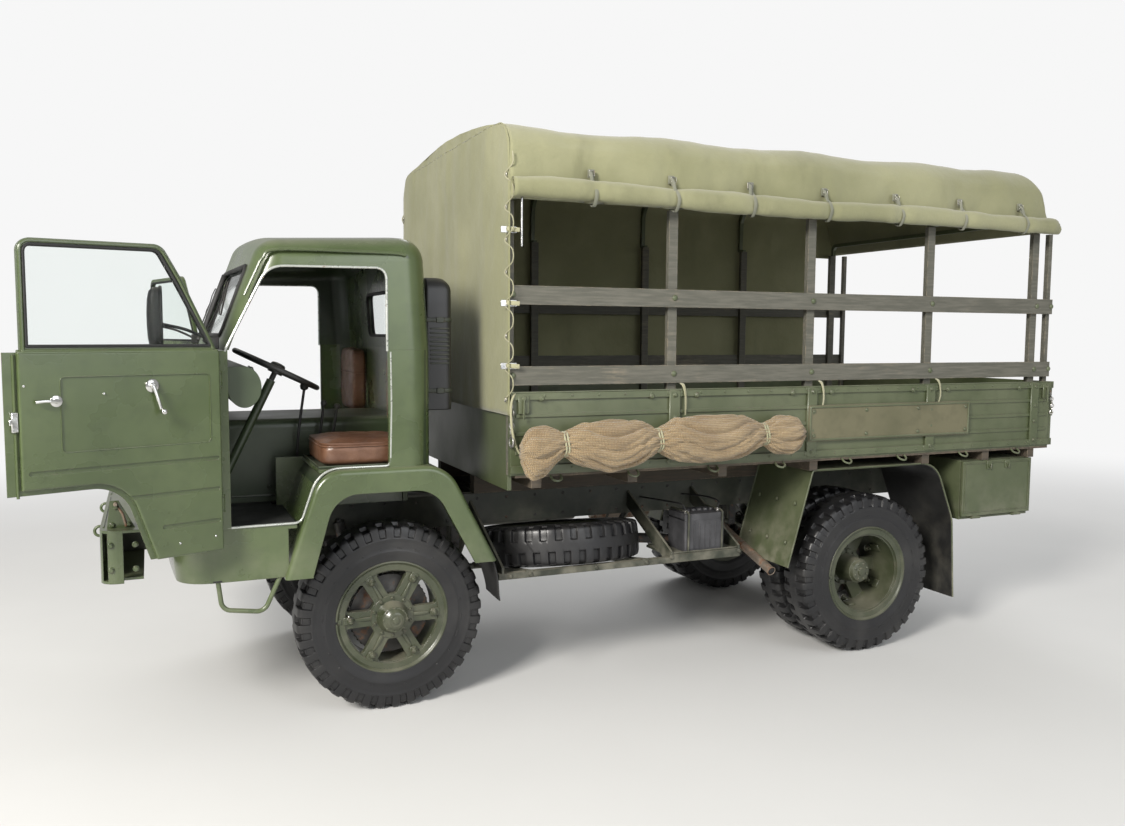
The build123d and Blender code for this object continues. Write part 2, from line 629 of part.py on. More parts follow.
with BuildPart() as steering_wheel:
    wheel_plane = Plane(origin=(HUB_X, STEER_Y, HUB_Z), x_dir=(0, 1, 0), z_dir=-column_down)
    with Locations(wheel_plane):
        Torus(HAND_R, RIM_TUBE_R)
        Cylinder(38, 44)
        for spoke in range(3):
            with Locations(Rotation(0, 0, 90 + spoke * 120)):
                with Locations((HAND_R / 2, 0, 0)):
                    Box(HAND_R, 26, 8)
    with BuildSketch(wheel_plane.offset(-59.7)):
        Circle(14)
    extrude(amount=45)
save(steering_wheel, "steering_wheel")

# Outside fittings of the cab
with BuildPart() as mirrors:
    for side in SIDES:
        with BuildSketch(Plane.YZ.offset(MIRROR_X - 12)):
            with Locations((side * MIRROR_Y, MIRROR_LOW + 140)):
                RectangleRounded(150, 280, 60)
        extrude(amount=24)
save(mirrors, "mirrors")

with BuildPart() as air_intake:
    box(CAB_REAR - 140, CAB_REAR, CAB_HALF - 375, CAB_HALF - CAB_CORNER_R - 20, 1560, 2235)
    fillet(air_intake.edges().filter_by(Axis.Z), radius=28)
save(air_intake, "air_intake")

# Under the bed
SPARE_X = -1060
SPARE_Y = 462
SPARE_Z = 728.5
SPARE_TILT = 10


def tyre_ring(y, flat_r):
    """A many-sided ring of the tyre: a face square to the wheel's axis, flat at the ground."""
    with BuildSketch(Plane.XZ.offset(-y)) as ring_sketch:
        RegularPolygon(flat_r, TYRE_FLATS, major_radius=False, rotation=180 / TYRE_FLATS)
    return ring_sketch.sketch.face()


def rim_profile(y_mid=0):
    """Half section of a rim, flange to flange."""
    half = RIM_W / 2
    with BuildLine() as outline:
        Polyline(
            (y_mid - half, BEAD_R - 9), (y_mid - half, RIM_FLANGE_R), (y_mid - half + 8, RIM_FLANGE_R),
            (y_mid - half + 8, BEAD_R - GAP), (y_mid + half - 8, BEAD_R - GAP), (y_mid + half - 8, RIM_FLANGE_R),
            (y_mid + half, RIM_FLANGE_R), (y_mid + half, BEAD_R - 9), (y_mid - half, BEAD_R - 9),
        )
    make_face(outline.edges())


SPOKES = 6
with BuildSketch() as wheel_opening:
    with BuildLine():
        FilletPolyline((118, -22), (118, 22), (230, 84), (240, 0), (230, -84), radius=14, close=True)
    make_face()


def wheel_star(y_low, y_high):
    """Six spokes between the hub and the rim, with rounded openings, about the wheel's axis."""
    with BuildSketch(Plane.XZ.offset(-y_high)) as star:
        Circle(BEAD_R - 5)
        Circle(80, mode=Mode.SUBTRACT)
        with PolarLocations(0, SPOKES, start_angle=180 / SPOKES):
            add(wheel_opening.sketch, mode=Mode.SUBTRACT)
    extrude(star.sketch, amount=y_high - y_low)


WHEEL_AXIS = Axis((0, 0, 0), (0, 1, 0))
SPINDLE_R = 30

# one tyre, one front wheel and one rear pair, drawn about the origin
TYRE_FLATS = 24
TREAD_HALF = 92
BULGE_R = 376
BEAD_HALF = 84
LUG_SLOT_W = 58
LUG_SLOT = (
    # distance from the tread's middle, radius: a slot that deepens towards the sidewall
    (40, TYRE_R + 5), (125, TYRE_R + 5), (125, TYRE_R - 48), (40, TYRE_R),
)
with BuildPart() as plain_tyre:
    loft(
        [
            tyre_ring(-TYRE_W / 2, BULGE_R),
            tyre_ring(-TREAD_HALF, TYRE_R),
            tyre_ring(TREAD_HALF, TYRE_R),
            tyre_ring(TYRE_W / 2, BULGE_R),
        ],
        ruled=True,
    )
    for side in SIDES:
        dish = [tyre_ring(side * TYRE_W / 2, BULGE_R), tyre_ring(side * BEAD_HALF, RIM_FLANGE_R + 6)]
        loft(dish, ruled=True, mode=Mode.SUBTRACT)
    extrude(tyre_ring(-TYRE_W, BEAD_R), amount=-2 * TYRE_W, mode=Mode.SUBTRACT)

with BuildPart() as lug_slot:
    for side in SIDES:
        with BuildSketch(Plane.YZ.offset(-LUG_SLOT_W / 2)):
            with BuildLine():
                Polyline(*[(side * y, r) for y, r in LUG_SLOT], close=True)
            make_face()
        extrude(amount=LUG_SLOT_W)

with BuildPart() as lug_tyre:
    add(plain_tyre.part)
    with Locations(*[Rotation(0, lug * 360 / TYRE_FLATS, 0) for lug in range(TYRE_FLATS)]):
        add(lug_slot.part, mode=Mode.SUBTRACT)


def hub_profile(points):
    """Half section of a hub: along the axis, radius."""
    with BuildLine() as outline:
        Polyline(*points, close=True)
    make_face(outline.edges())


with BuildPart() as front_wheel_blank:
    with BuildSketch(Plane.YZ):
        rim_profile()
    revolve(axis=WHEEL_AXIS)
    wheel_star(48, 84)
    with BuildSketch(Plane.YZ):
        hub_profile(((-40, SPINDLE_R + RUN_FIT), (-40, 96), (84, 112), (92, 112), (92, 84), (150, 66), (172, 40),
                     (172, 0), (110, 0), (110, SPINDLE_R + RUN_FIT)))
    revolve(axis=WHEEL_AXIS)
    with BuildSketch(Plane.XZ.offset(-98)):
        with PolarLocations(218, SPOKES):
            Circle(17)
    extrude(amount=22)

with BuildPart() as rear_wheel_blank:
    mid_out = (REAR_OUTER_Y - REAR_INNER_Y) / 2
    for y_mid in (mid_out, -mid_out):
        with BuildSketch(Plane.YZ):
            rim_profile(y_mid)
        revolve(axis=WHEEL_AXIS)
    wheel_star(-16, 16)
    with BuildSketch(Plane.YZ):
        with BuildLine():
            Polyline((-16, BEAD_R - 20), (-16, BEAD_R - 9), (-mid_out - RIM_W / 2 + 12, BEAD_R - 9),
                     (-mid_out - RIM_W / 2 + 12, BEAD_R - 20), close=True)
        make_face()
        with BuildLine():
            Polyline((16, BEAD_R - 20), (16, BEAD_R - 9), (mid_out + RIM_W / 2 - 12, BEAD_R - 9),
                     (mid_out + RIM_W / 2 - 12, BEAD_R - 20), close=True)
        make_face()
        with BuildLine():
            Polyline((-16, BEAD_R - 20), (-16, BEAD_R - 5), (16, BEAD_R - 5), (16, BEAD_R - 20), close=True)
        make_face()
    revolve(axis=WHEEL_AXIS)
    with BuildSketch(Plane.YZ):
        hub_profile(((-190, REAR_SPINDLE_R + RUN_FIT), (-190, 185), (-70, 185), (-70, 125), (30, 112), (38, 112),
                     (38, 88), (150, 74), (176, 62), (176, 0), (95, 0), (95, REAR_SPINDLE_R + RUN_FIT)))
    revolve(axis=WHEEL_AXIS)

spare_place = Location((SPARE_X, SPARE_Y, SPARE_Z), (90 + SPARE_TILT, 0, 0))
with BuildPart() as spare_tyre:
    add(lug_tyre.part.moved(spare_place))
save(spare_tyre, "spare_tyre")

with BuildPart() as spare_wheel:
    with BuildPart(mode=Mode.PRIVATE) as spare_blank:
        with BuildSketch(Plane.YZ):
            rim_profile()
        revolve(axis=WHEEL_AXIS)
        wheel_star(20, 50)
    add(spare_blank.part.moved(spare_place))
save(spare_wheel, "spare_wheel")

# Wheels, tyres and knuckles
for side, hand in ((1, "left"), (-1, "right")):
    turn = 0 if side > 0 else 180
    front_place = Location((0, side * FRONT_WHEEL_Y, TYRE_R), (0, 0, turn))
    rear_mid = (REAR_OUTER_Y + REAR_INNER_Y) / 2
    with BuildPart() as front_tyre:
        add(lug_tyre.part.moved(front_place))
    save(front_tyre, f"front_tyre_{hand}")
    with BuildPart() as front_wheel:
        add(front_wheel_blank.part.moved(front_place))
    save(front_wheel, f"front_wheel_{hand}")
    with BuildPart() as rear_tyres:
        add(lug_tyre.part.moved(Location((-WHEELBASE, side * REAR_OUTER_Y, TYRE_R))))
        add(plain_tyre.part.moved(Location((-WHEELBASE, side * REAR_INNER_Y, TYRE_R))))
    save(rear_tyres, f"rear_tyres_{hand}")
    with BuildPart() as rear_wheel:
        add(rear_wheel_blank.part.moved(Location((-WHEELBASE, side * rear_mid, TYRE_R), (0, 0, turn))))
    save(rear_wheel, f"rear_wheel_{hand}")
    with BuildPart() as knuckle:
        for lug in SIDES:
            with Locations((0, side * KINGPIN_Y, TYRE_R + lug * (AXLE_BOSS_HALF + 15))):
                Cylinder(38, 26)
                Cylinder(KINGPIN_R + RUN_FIT, 28, mode=Mode.SUBTRACT)
        # back plate outside the boss
        plate_y = side * (KINGPIN_Y + 44)
        disc_y(150, min(plate_y, plate_y + side * 12), max(plate_y, plate_y + side * 12))
        for lug in SIDES:
            low_z = TYRE_R + lug * (AXLE_BOSS_HALF + 15) - 13
            with BuildSketch(Plane.XY.offset(low_z)):
                with Locations((0, side * (KINGPIN_Y + 34))):
                    Rectangle(60, 24)
            extrude(amount=26)
        spindle_end = side * (FRONT_WHEEL_Y + 100)
        disc_y(SPINDLE_R, min(plate_y, spindle_end), max(plate_y, spindle_end))
    save(knuckle, f"knuckle_{hand}")

# Rack below the bed, battery, tank, exhaust
RACK_Z = 697
RACK_OUT_Y = 930
RACK_REAR = -2035
RACK_FRONT = -536
RACK_IN_RAIL = 40
TRAY_FRONT = -1570

with BuildPart() as spare_rack:
    lean = tan(radians(SPARE_TILT))
    inner_top = RACK_Z - lean * RACK_OUT_Y
    box(RACK_REAR, RACK_FRONT, RACK_OUT_Y - 40, RACK_OUT_Y, RACK_Z - 40, RACK_Z - 8)
    box(TRAY_FRONT - 14, RACK_FRONT, 0, RACK_IN_RAIL, inner_top - 34, inner_top - 6)
    # sloping bars that the spare lies on
    for x in (-730, -1430):
        with BuildSketch(Plane.YZ.offset(x)):
            with BuildLine():
                Polyline((RACK_OUT_Y, RACK_Z), (0, inner_top), (0, inner_top - 30), (RACK_OUT_Y, RACK_Z - 30), close=True)
            make_face()
        extrude(amount=40)
    # brackets from the frame rail out to the rack
    for x in (RACK_FRONT - 30, TRAY_FRONT - 14, RACK_REAR):
        with BuildSketch(Plane.YZ.offset(x)):
            with BuildLine():
                Polyline((RAIL_OUT_Y, 990), (RAIL_OUT_Y, 890), (RACK_OUT_Y - 60, RACK_Z - 40), (RACK_OUT_Y, RACK_Z - 40),
                         (RACK_OUT_Y, RACK_Z + 26), close=True)
            make_face()
        extrude(amount=14)
    # hangers from the rail's underside to the inner rail
    for x in (RACK_FRONT - 30, TRAY_FRONT - 14):
        with BuildSketch(Plane.YZ.offset(x)):
            with BuildLine():
                Polyline((RAIL_OUT_Y, RAIL_BOTTOM), (RAIL_OUT_Y - 60, RAIL_BOTTOM), (0, inner_top - 6), (0, inner_top - 34),
                         (RACK_IN_RAIL + 10, inner_top - 34), close=True)
            make_face()
        extrude(amount=14)
    box(RACK_REAR, TRAY_FRONT, 640, RACK_OUT_Y, RACK_Z - 8, RACK_Z + 6)
save(spare_rack, "spare_rack")

BATTERY_FRONT = -1680
with BuildPart() as battery:
    box(BATTERY_FRONT - 265, BATTERY_FRONT, 700, 900, RACK_Z + 6, RACK_Z + 225)
    fillet(battery.edges().filter_by(Axis.Z), radius=12)
save(battery, "battery")

SILENCER_REAR = -WHEELBASE + 713
SILENCER_L = 430
SILENCER_Y = -560
TANK_REAR = SILENCER_REAR + SILENCER_L + 120
TANK_FRONT = -700
with BuildPart() as fuel_tank:
    with BuildSketch(Plane.YZ.offset(TANK_REAR)):
        with Locations((-760, 810)):
            RectangleRounded(400, 380, 90)
    extrude(amount=TANK_FRONT - TANK_REAR)
    for x in (TANK_FRONT - 200, TANK_REAR + 200):
        box(x - 25, x + 25, -600, -RAIL_OUT_Y, 940, 990)
save(fuel_tank, "fuel_tank")

TAIL_PIPE_X = SILENCER_REAR - 45
with BuildPart() as exhaust:
    with BuildSketch(Plane.YZ.offset(SILENCER_REAR)):
        with Locations((SILENCER_Y, 700)):
            Circle(85)
    extrude(amount=SILENCER_L)
    box(SILENCER_REAR + 200, SILENCER_REAR + 240, SILENCER_Y, -RAIL_OUT_Y, 840, 900)
    box(SILENCER_REAR + 200, SILENCER_REAR + 240, SILENCER_Y - 20, SILENCER_Y + 20, 700, 900)
    with BuildLine() as pipe_path:
        FilletPolyline((SILENCER_REAR + 10, SILENCER_Y, 700), (TAIL_PIPE_X, SILENCER_Y, 700), (TAIL_PIPE_X, -380, 730),
                       (TAIL_PIPE_X, 380, 730), (TAIL_PIPE_X - 17, 930, 545), radius=20)
    with BuildSketch(Plane(origin=pipe_path.line @ 0, z_dir=pipe_path.line % 0)):
        Circle(26)
    sweep(path=pipe_path.line)
save(exhaust, "exhaust")

MUDGUARD_T = 8
MUDGUARD_IN_Y = 500
MUDGUARD_OUT_Y = BED_HALF - 22
CROSS_LOW = FLOOR_UNDER - 58
MUDGUARD_LINE = (
    # distance ahead of the rear axle, z: front plate, top, curved rear flap
    (613, 585), (447, CROSS_LOW), (-505, CROSS_LOW), (-655, 790), (-688, 275),
)
MUDGUARD_BENDS = (25, 190, 210)
with BuildPart() as rear_mudguards:
    for side in SIDES:
        y_high = max(side * MUDGUARD_IN_Y, side * MUDGUARD_OUT_Y)
        with BuildSketch(Plane.XZ.offset(-y_high)):
            with BuildLine() as strip:
                FilletPolyline(*[(x - WHEELBASE, z) for x, z in MUDGUARD_LINE], radius=MUDGUARD_BENDS)
                offset(amount=MUDGUARD_T, side=Side.LEFT)
            make_face()
        extrude(amount=MUDGUARD_OUT_Y - MUDGUARD_IN_Y)
save(rear_mudguards, "rear_mudguards")

BOX_FRONT = -WHEELBASE - 727
BOX_REAR = BED_REAR + 125
BOX_MIDDLE = (BOX_FRONT + BOX_REAR) / 2
BOX_LENGTH = BOX_FRONT - BOX_REAR
BOX_OUT_Y = BED_HALF - 37
BOX_DEPTH = 460
BOX_LOW = 775
LID_PIN_R = 4
LID_PIN_Y = BED_HALF - 11
LID_PIN_Z = BOX_LOW + 10
LID_HINGE_X = (BOX_MIDDLE + 0.3 * BOX_LENGTH, BOX_MIDDLE - 0.3 * BOX_LENGTH)
with BuildPart() as tool_box:
    box(BOX_REAR, BOX_FRONT, BOX_OUT_Y - BOX_DEPTH, BOX_OUT_Y, BOX_LOW, CROSS_LOW)
    box(BOX_REAR + 12, BOX_FRONT - 12, BOX_OUT_Y - BOX_DEPTH + 12, BOX_OUT_Y + 1, BOX_LOW + 12, CROSS_LOW - 12,
        mode=Mode.SUBTRACT)
    for x in LID_HINGE_X:
        with Locations((x, LID_PIN_Y, LID_PIN_Z)):
            Cylinder(LID_PIN_R, 70, rotation=(0, 90, 0))
        for end in SIDES:
            ear_x = x + end * 30
            box(ear_x - 5, ear_x + 5, BOX_OUT_Y - 1, LID_PIN_Y, LID_PIN_Z - 8, LID_PIN_Z + 8)
            with Locations((ear_x, LID_PIN_Y, LID_PIN_Z)):
                Cylinder(8, 10, rotation=(0, 90, 0))
save(tool_box, "tool_box")

with BuildPart() as tool_box_lid:
    box(BOX_REAR, BOX_FRONT, BOX_OUT_Y + 6, LID_PIN_Y - 2, BOX_LOW + 20, CROSS_LOW - 4)
    for x in LID_HINGE_X:
        with Locations((x, LID_PIN_Y, LID_PIN_Z)):
            Cylinder(8, 48, rotation=(0, 90, 0))
        box(x - 24, x + 24, LID_PIN_Y - 10, LID_PIN_Y - 2, LID_PIN_Z + 4, BOX_LOW + 22)
        with Locations((x, LID_PIN_Y, LID_PIN_Z)):
            Cylinder(LID_PIN_R + RUN_FIT, 50, rotation=(0, 90, 0), mode=Mode.SUBTRACT)
save(tool_box_lid, "tool_box_lid")

# Cargo bed

STAKE_T = 30
FLOOR_HALF = BED_HALF - SIDE_T - STAKE_T
SIDE_SEAT_Z = BED_FLOOR_TOP - 12
GATE_T = 28
GATE_HINGE_Y = (-760, 0, 760)
GATE_PIN_R = 7
GATE_PIN_X = BED_REAR - 20
GATE_PIN_Z = BED_FLOOR_TOP - 13

with BuildPart() as bed_floor:
    box(BED_REAR, BED_FRONT, -BED_HALF, BED_HALF, FLOOR_UNDER, SIDE_SEAT_Z)
    box(BED_REAR, BED_FRONT, -FLOOR_HALF, FLOOR_HALF, SIDE_SEAT_Z - 1, BED_FLOOR_TOP)
    for x in BED_CROSS_X:
        box(x - 28, x + 28, -BED_HALF + 12, BED_HALF - 12, CROSS_LOW, FLOOR_UNDER)
    for side in SIDES:
        runner_y = side * (RAIL_OUT_Y - RAIL_FLANGE / 2)
        box(BED_REAR + 60, BED_FRONT, runner_y - RAIL_FLANGE / 2, runner_y + RAIL_FLANGE / 2, RAIL_TOP, FLOOR_UNDER)
    # tailgate's hinge pins with their ears
    for y in GATE_HINGE_Y:
        with Locations((GATE_PIN_X, y, GATE_PIN_Z)):
            Cylinder(GATE_PIN_R, 90, rotation=(90, 0, 0))
        for end in SIDES:
            ear_y = y + end * 38
            box(GATE_PIN_X, BED_REAR + 1, ear_y - 6, ear_y + 6, GATE_PIN_Z - 12, GATE_PIN_Z + 12)
            with Locations((GATE_PIN_X, ear_y, GATE_PIN_Z)):
                Cylinder(12, 12, rotation=(90, 0, 0))
save(bed_floor, "bed_floor")

SIGN_REAR = -3630
SIGN_FRONT = -2390
SIDE_RIB_Z = (1345, 1440, 1535)
SIDE_RIB_H = 18
SIDE_RIB_T = 7
with BuildPart() as bed_sides:
    for side in SIDES:
        out = side * BED_HALF
        inn = side * (BED_HALF - SIDE_T)
        box(BED_REAR, BED_FRONT + 30, min(out, inn), max(out, inn), SIDE_SEAT_Z, SIDE_TOP)
        for low, high in ((BED_FLOOR_TOP, BED_FLOOR_TOP + 38), (SIDE_TOP - 40, SIDE_TOP)):
            rail_out = side * (BED_HALF + 12)
            box(BED_REAR, BED_FRONT + 30, min(rail_out, out), max(rail_out, out), low, high)
        # pressed ribs along the side
        for z in SIDE_RIB_Z:
            rib_out = side * (BED_HALF + SIDE_RIB_T)
            box(BED_REAR + 30, BED_FRONT, min(rib_out, out), max(rib_out, out), z - SIDE_RIB_H / 2, z + SIDE_RIB_H / 2)
    # headboard between the two sides
    box(BED_FRONT, BED_FRONT + 24, -FLOOR_HALF, FLOOR_HALF, BED_FLOOR_TOP - 95, SIDE_TOP)
    # blank board hung between the rails of the left side
    box(SIGN_REAR, SIGN_FRONT, BED_HALF, BED_HALF + 26, SIDE_RIB_Z[0] - 10, SIDE_RIB_Z[-1] + 10)
save(bed_sides, "bed_sides")

with BuildPart() as tailgate:
    gate_low = GATE_PIN_Z + 6
    box(BED_REAR - GATE_T - 6, BED_REAR - 6, -BED_HALF + 10, BED_HALF - 10, gate_low, SIDE_TOP)
    for z in (gate_low, (BED_FLOOR_TOP + SIDE_TOP) / 2 - 20, SIDE_TOP - 44):
        box(BED_REAR - GATE_T - 18, BED_REAR - GATE_T - 6, -BED_HALF + 10, BED_HALF - 10, z, z + 44)
    for y in GATE_HINGE_Y:
        for end in SIDES:
            notch_y = y + end * 38
            box(BED_REAR - GATE_T - 20, BED_REAR, notch_y - 9, notch_y + 9, gate_low - 1, GATE_PIN_Z + 18,
                mode=Mode.SUBTRACT)
        with Locations((GATE_PIN_X, y, GATE_PIN_Z)):
            Cylinder(12, 58, rotation=(90, 0, 0))
        with Locations((GATE_PIN_X, y, GATE_PIN_Z)):
            Cylinder(GATE_PIN_R + RUN_FIT, 62, rotation=(90, 0, 0), mode=Mode.SUBTRACT)
save(tailgate, "tailgate")

# Stakes, slats and bows
STAKE_X = (-1500, -2420, -3320, -4210)
STAKE_W = 55
POST_X = (BED_FRONT + 15, BED_REAR + 20)
SLATS = (
    # low z, high z
    (1690, 1787),
    (2100, 2196),
)
BOW_R = 14
RACK_IN_Y = BED_HALF - SIDE_T

for side, hand in ((1, "left"), (-1, "right")):
    with BuildPart() as side_rack:
        y_out = side * RACK_IN_Y
        y_in = side * (RACK_IN_Y - STAKE_T)
        y_slat = side * (BED_HALF - 3)
        for x in STAKE_X + POST_X:
            width = STAKE_W if x in STAKE_X else 30
            box(x - width / 2, x + width / 2, min(y_out, y_in), max(y_out, y_in), SIDE_SEAT_Z, EAVE_Z)
        for low, high in SLATS:
            box(BED_REAR + 10, BED_FRONT + 30, min(y_out, y_slat), max(y_out, y_slat), low, high)
    save(side_rack, f"side_rack_{hand}")

CANVAS_T = 10
CANVAS_HALF = BED_HALF + 28
SHOULDER_Z = 2890


def tilt_line(inset, eave):
    """Cross-section of the tilt from eave to eave."""
    half = CANVAS_HALF - inset
    Polyline((half, eave), (half - 8, SHOULDER_Z - inset))
    ThreePointArc((half - 8, SHOULDER_Z - inset), (half - 70, SHOULDER_Z + 90 - inset), (half - 210, SHOULDER_Z + 130 - inset))
    ThreePointArc((half - 210, SHOULDER_Z + 130 - inset), (0, CROWN_Z - inset), (-half + 210, SHOULDER_Z + 130 - inset))
    ThreePointArc((-half + 210, SHOULDER_Z + 130 - inset), (-half + 70, SHOULDER_Z + 90 - inset), (-half + 8, SHOULDER_Z - inset))
    Polyline((-half + 8, SHOULDER_Z - inset), (-half, eave))


CANVAS_FRONT = BED_FRONT + 40
CANVAS_REAR = BED_REAR + 70
CURTAIN_LOW = 1540
RIGHT_CURTAIN_REAR = -4080
HOOD_REACH = 350
HOOD_DROP = 340


def tilt_section(x, inset, eave, length):
    """The tilt's cross-section, filled and drawn out ahead from one place."""
    half = CANVAS_HALF - inset
    with BuildSketch(Plane.YZ.offset(x)) as section:
        with BuildLine():
            tilt_line(inset, eave)
            Line((half, eave), (-half, eave))
        make_face()
    extrude(section.sketch, amount=length)


def round_the_hood(inset):
    """Keeps what lies under the side view of the tilt, which curves down over its rear end."""
    rear = CANVAS_REAR + inset
    top = CROWN_Z + 40 - inset
    bend = (rear + 60, EAVE_Z + 130)
    with BuildSketch(Plane.XZ.offset(-2 * CANVAS_HALF)) as side_view:
        with BuildLine():
            Polyline((rear + HOOD_REACH, top), (0, top), (0, CURTAIN_LOW - 100), (rear, CURTAIN_LOW - 100),
                     (rear, EAVE_Z), bend)
            ThreePointArc(bend, (rear + HOOD_REACH * 0.42, EAVE_Z + HOOD_DROP), (rear + HOOD_REACH, top))
        make_face()
    extrude(side_view.sketch, amount=4 * CANVAS_HALF, mode=Mode.INTERSECT)


BOW_INSET = CANVAS_T + GAP
HOOP_TOP = EAVE_Z + 95
with BuildPart() as canopy_bows:
    for x in (POST_X[0],) + STAKE_X[:-1]:
        tilt_section(x - BOW_R, BOW_INSET, EAVE_Z, 2 * BOW_R)
    with BuildSketch(Plane.YZ.offset(CANVAS_REAR)) as inside:
        with BuildLine():
            tilt_line(BOW_INSET + 2 * BOW_R, EAVE_Z - 1)
            Line((CANVAS_HALF - BOW_INSET - 2 * BOW_R, EAVE_Z - 1), (-CANVAS_HALF + BOW_INSET + 2 * BOW_R, EAVE_Z - 1))
        make_face()
    extrude(inside.sketch, amount=CANVAS_FRONT - CANVAS_REAR, mode=Mode.SUBTRACT)
    # low hoop at the rear, below the hood
    hoop_half = RACK_IN_Y - STAKE_T / 2
    with BuildSketch(Plane.YZ.offset(STAKE_X[-1] - BOW_R)) as hoop:
        with BuildLine() as hoop_line:
            FilletPolyline((-hoop_half, EAVE_Z), (-hoop_half, HOOP_TOP), (hoop_half, HOOP_TOP), (hoop_half, EAVE_Z),
                           radius=60)
            offset(amount=2 * BOW_R, side=Side.RIGHT)
        make_face()
    extrude(hoop.sketch, amount=2 * BOW_R)
    for x in (POST_X[0],) + STAKE_X[:-1]:
        for side in SIDES:
            y_a = side * (CANVAS_HALF - BOW_INSET - 1)
            y_b = side * (RACK_IN_Y - STAKE_T)
            box(x - BOW_R, x + BOW_R, min(y_a, y_b), max(y_a, y_b), EAVE_Z, EAVE_Z + 14)
save(canopy_bows, "canopy_bows")

ROLLED_T = 60
ROLLED_H = 150
with BuildPart() as canopy_filled:
    tilt_section(CANVAS_REAR, 0, EAVE_Z, CANVAS_FRONT - CANVAS_REAR)
    round_the_hood(0)

with BuildPart() as canopy_inside:
    tilt_section(CANVAS_REAR, CANVAS_T, EAVE_Z - 1, CANVAS_FRONT - CANVAS_REAR)
    round_the_hood(CANVAS_T)

with BuildPart() as canopy:
    add(canopy_filled.part)
    add(canopy_inside.part, mode=Mode.SUBTRACT)
    # front curtain
    with BuildSketch(Plane.YZ.offset(CANVAS_FRONT)) as curtain:
        with BuildLine():
            tilt_line(0, CURTAIN_LOW)
            Line((CANVAS_HALF, CURTAIN_LOW), (-CANVAS_HALF, CURTAIN_LOW))
        make_face()
    extrude(curtain.sketch, amount=CANVAS_T)
    # right side let down, left side rolled up along the eave
    box(RIGHT_CURTAIN_REAR, CANVAS_FRONT + CANVAS_T, -CANVAS_HALF, -CANVAS_HALF + CANVAS_T, SIDE_TOP + 20, EAVE_Z + 5)
    with BuildSketch(Plane.YZ.offset(CANVAS_REAR + 30)) as rolled:
        with Locations((CANVAS_HALF - CANVAS_T + ROLLED_T / 2, EAVE_Z - 8 + ROLLED_H / 2)):
            RectangleRounded(ROLLED_T, ROLLED_H, 0.48 * ROLLED_T)
    extrude(rolled.sketch, amount=CANVAS_FRONT - CANVAS_REAR - 30)
save(canopy, "canopy")

# Stowage on the left side
ROLL_SETTLE = 1.3
ROLL_Y = BED_HALF + SIDE_RIB_T + 105 + GAP - ROLL_SETTLE
ROLL_Z = 1395
ROLL_SECTIONS = (
    # x, half height, half depth, drop of the middle
    (-575, 60, 50, 40), (-620, 150, 88, 46), (-720, 130, 85, 20), (-800, 62, 60, 0), (-900, 120, 95, 12),
    (-1060, 145, 105, 18), (-1220, 125, 98, 10), (-1340, 60, 60, 0), (-1450, 120, 95, 4), (-1620, 140, 105, 8),
    (-1860, 125, 98, 0), (-2010, 62, 60, -6), (-2090, 110, 80, 0), (-2200, 125, 85, 6), (-2280, 60, 50, 0),
)
with BuildPart() as net_roll:
    for x, half_height, half_depth, drop in ROLL_SECTIONS:
        with BuildSketch(Plane.YZ.offset(x)):
            with Locations((ROLL_Y, ROLL_Z - drop)):
                Ellipse(half_depth, half_height)
    loft(ruled=True)
save(net_roll, "net_roll")

# Doors
DOOR_LOW = 978
PAN_EDGE = 818
PAN_STEP = 22
SKIN_EDGE = 866
PAN_EDGE_R = 8
FRAME_T = 20
GLASS_T = 5
DOOR_FRAME = (
    # distance from the pin towards the free edge, z
    (20, BELT - 1), (165, 2170), (252, 2320), (806, 2312), (806, BELT - 1),
)
DOOR_FRAME_R = (120, 62, 52)
DOOR_GLASS = ((50, BELT + 24), (192, 2160), (268, 2294), (782, 2287), (782, BELT + 24))
DOOR_GLASS_R = (110, 42, 32)
DOOR_RECESS = (61, 670, 1470, 1772, 3)
DOOR_GROOVES = (
    # z, nearest and farthest distance from the pin
    (1395, 24, 792),
    (1257, 24, 486),
    (1115, 24, 282),
)
GROOVE_H = 16
GROOVE_DEEP = 5

with BuildSketch() as wing_side_view:
    arch_sketch(ARCH_OUT, ARCH_FILLET_OUT, APRON_LOW - 10)


def door_outline(free_edge, clear):
    """A door below the belt in its own plane, local X running back from the pin, clear of the wing."""
    with BuildSketch() as outline:
        with BuildLine():
            Polyline((-12, DOOR_LOW), (-free_edge, DOOR_LOW), (-free_edge, BELT), (-12, BELT), close=True)
        make_face()
        grown = offset(wing_side_view.sketch, amount=clear, mode=Mode.PRIVATE)
        add(grown.moved(Location((-DOOR_PIN_X, 0, 0))), mode=Mode.SUBTRACT)
        pieces = outline.faces().sort_by(SortBy.AREA)
    return Plane.XZ.location * pieces[-1]


def glass_outline(y):
    """The outline of a door's window."""
    with BuildSketch(Plane.XZ.offset(-y)) as outline:
        with BuildLine():
            FilletPolyline(*[(-s, z) for s, z in DOOR_GLASS], radius=DOOR_GLASS_R)
            Line((-DOOR_GLASS[-1][0], BELT + 24), (-DOOR_GLASS[0][0], BELT + 24))
        make_face()
    return outline.sketch.face()


pan_in = DOOR_IN_Y - DOOR_PIN_Y
skin_out = DOOR_OUT_Y - DOOR_PIN_Y
skin_in = skin_out - DOOR_SKIN_T
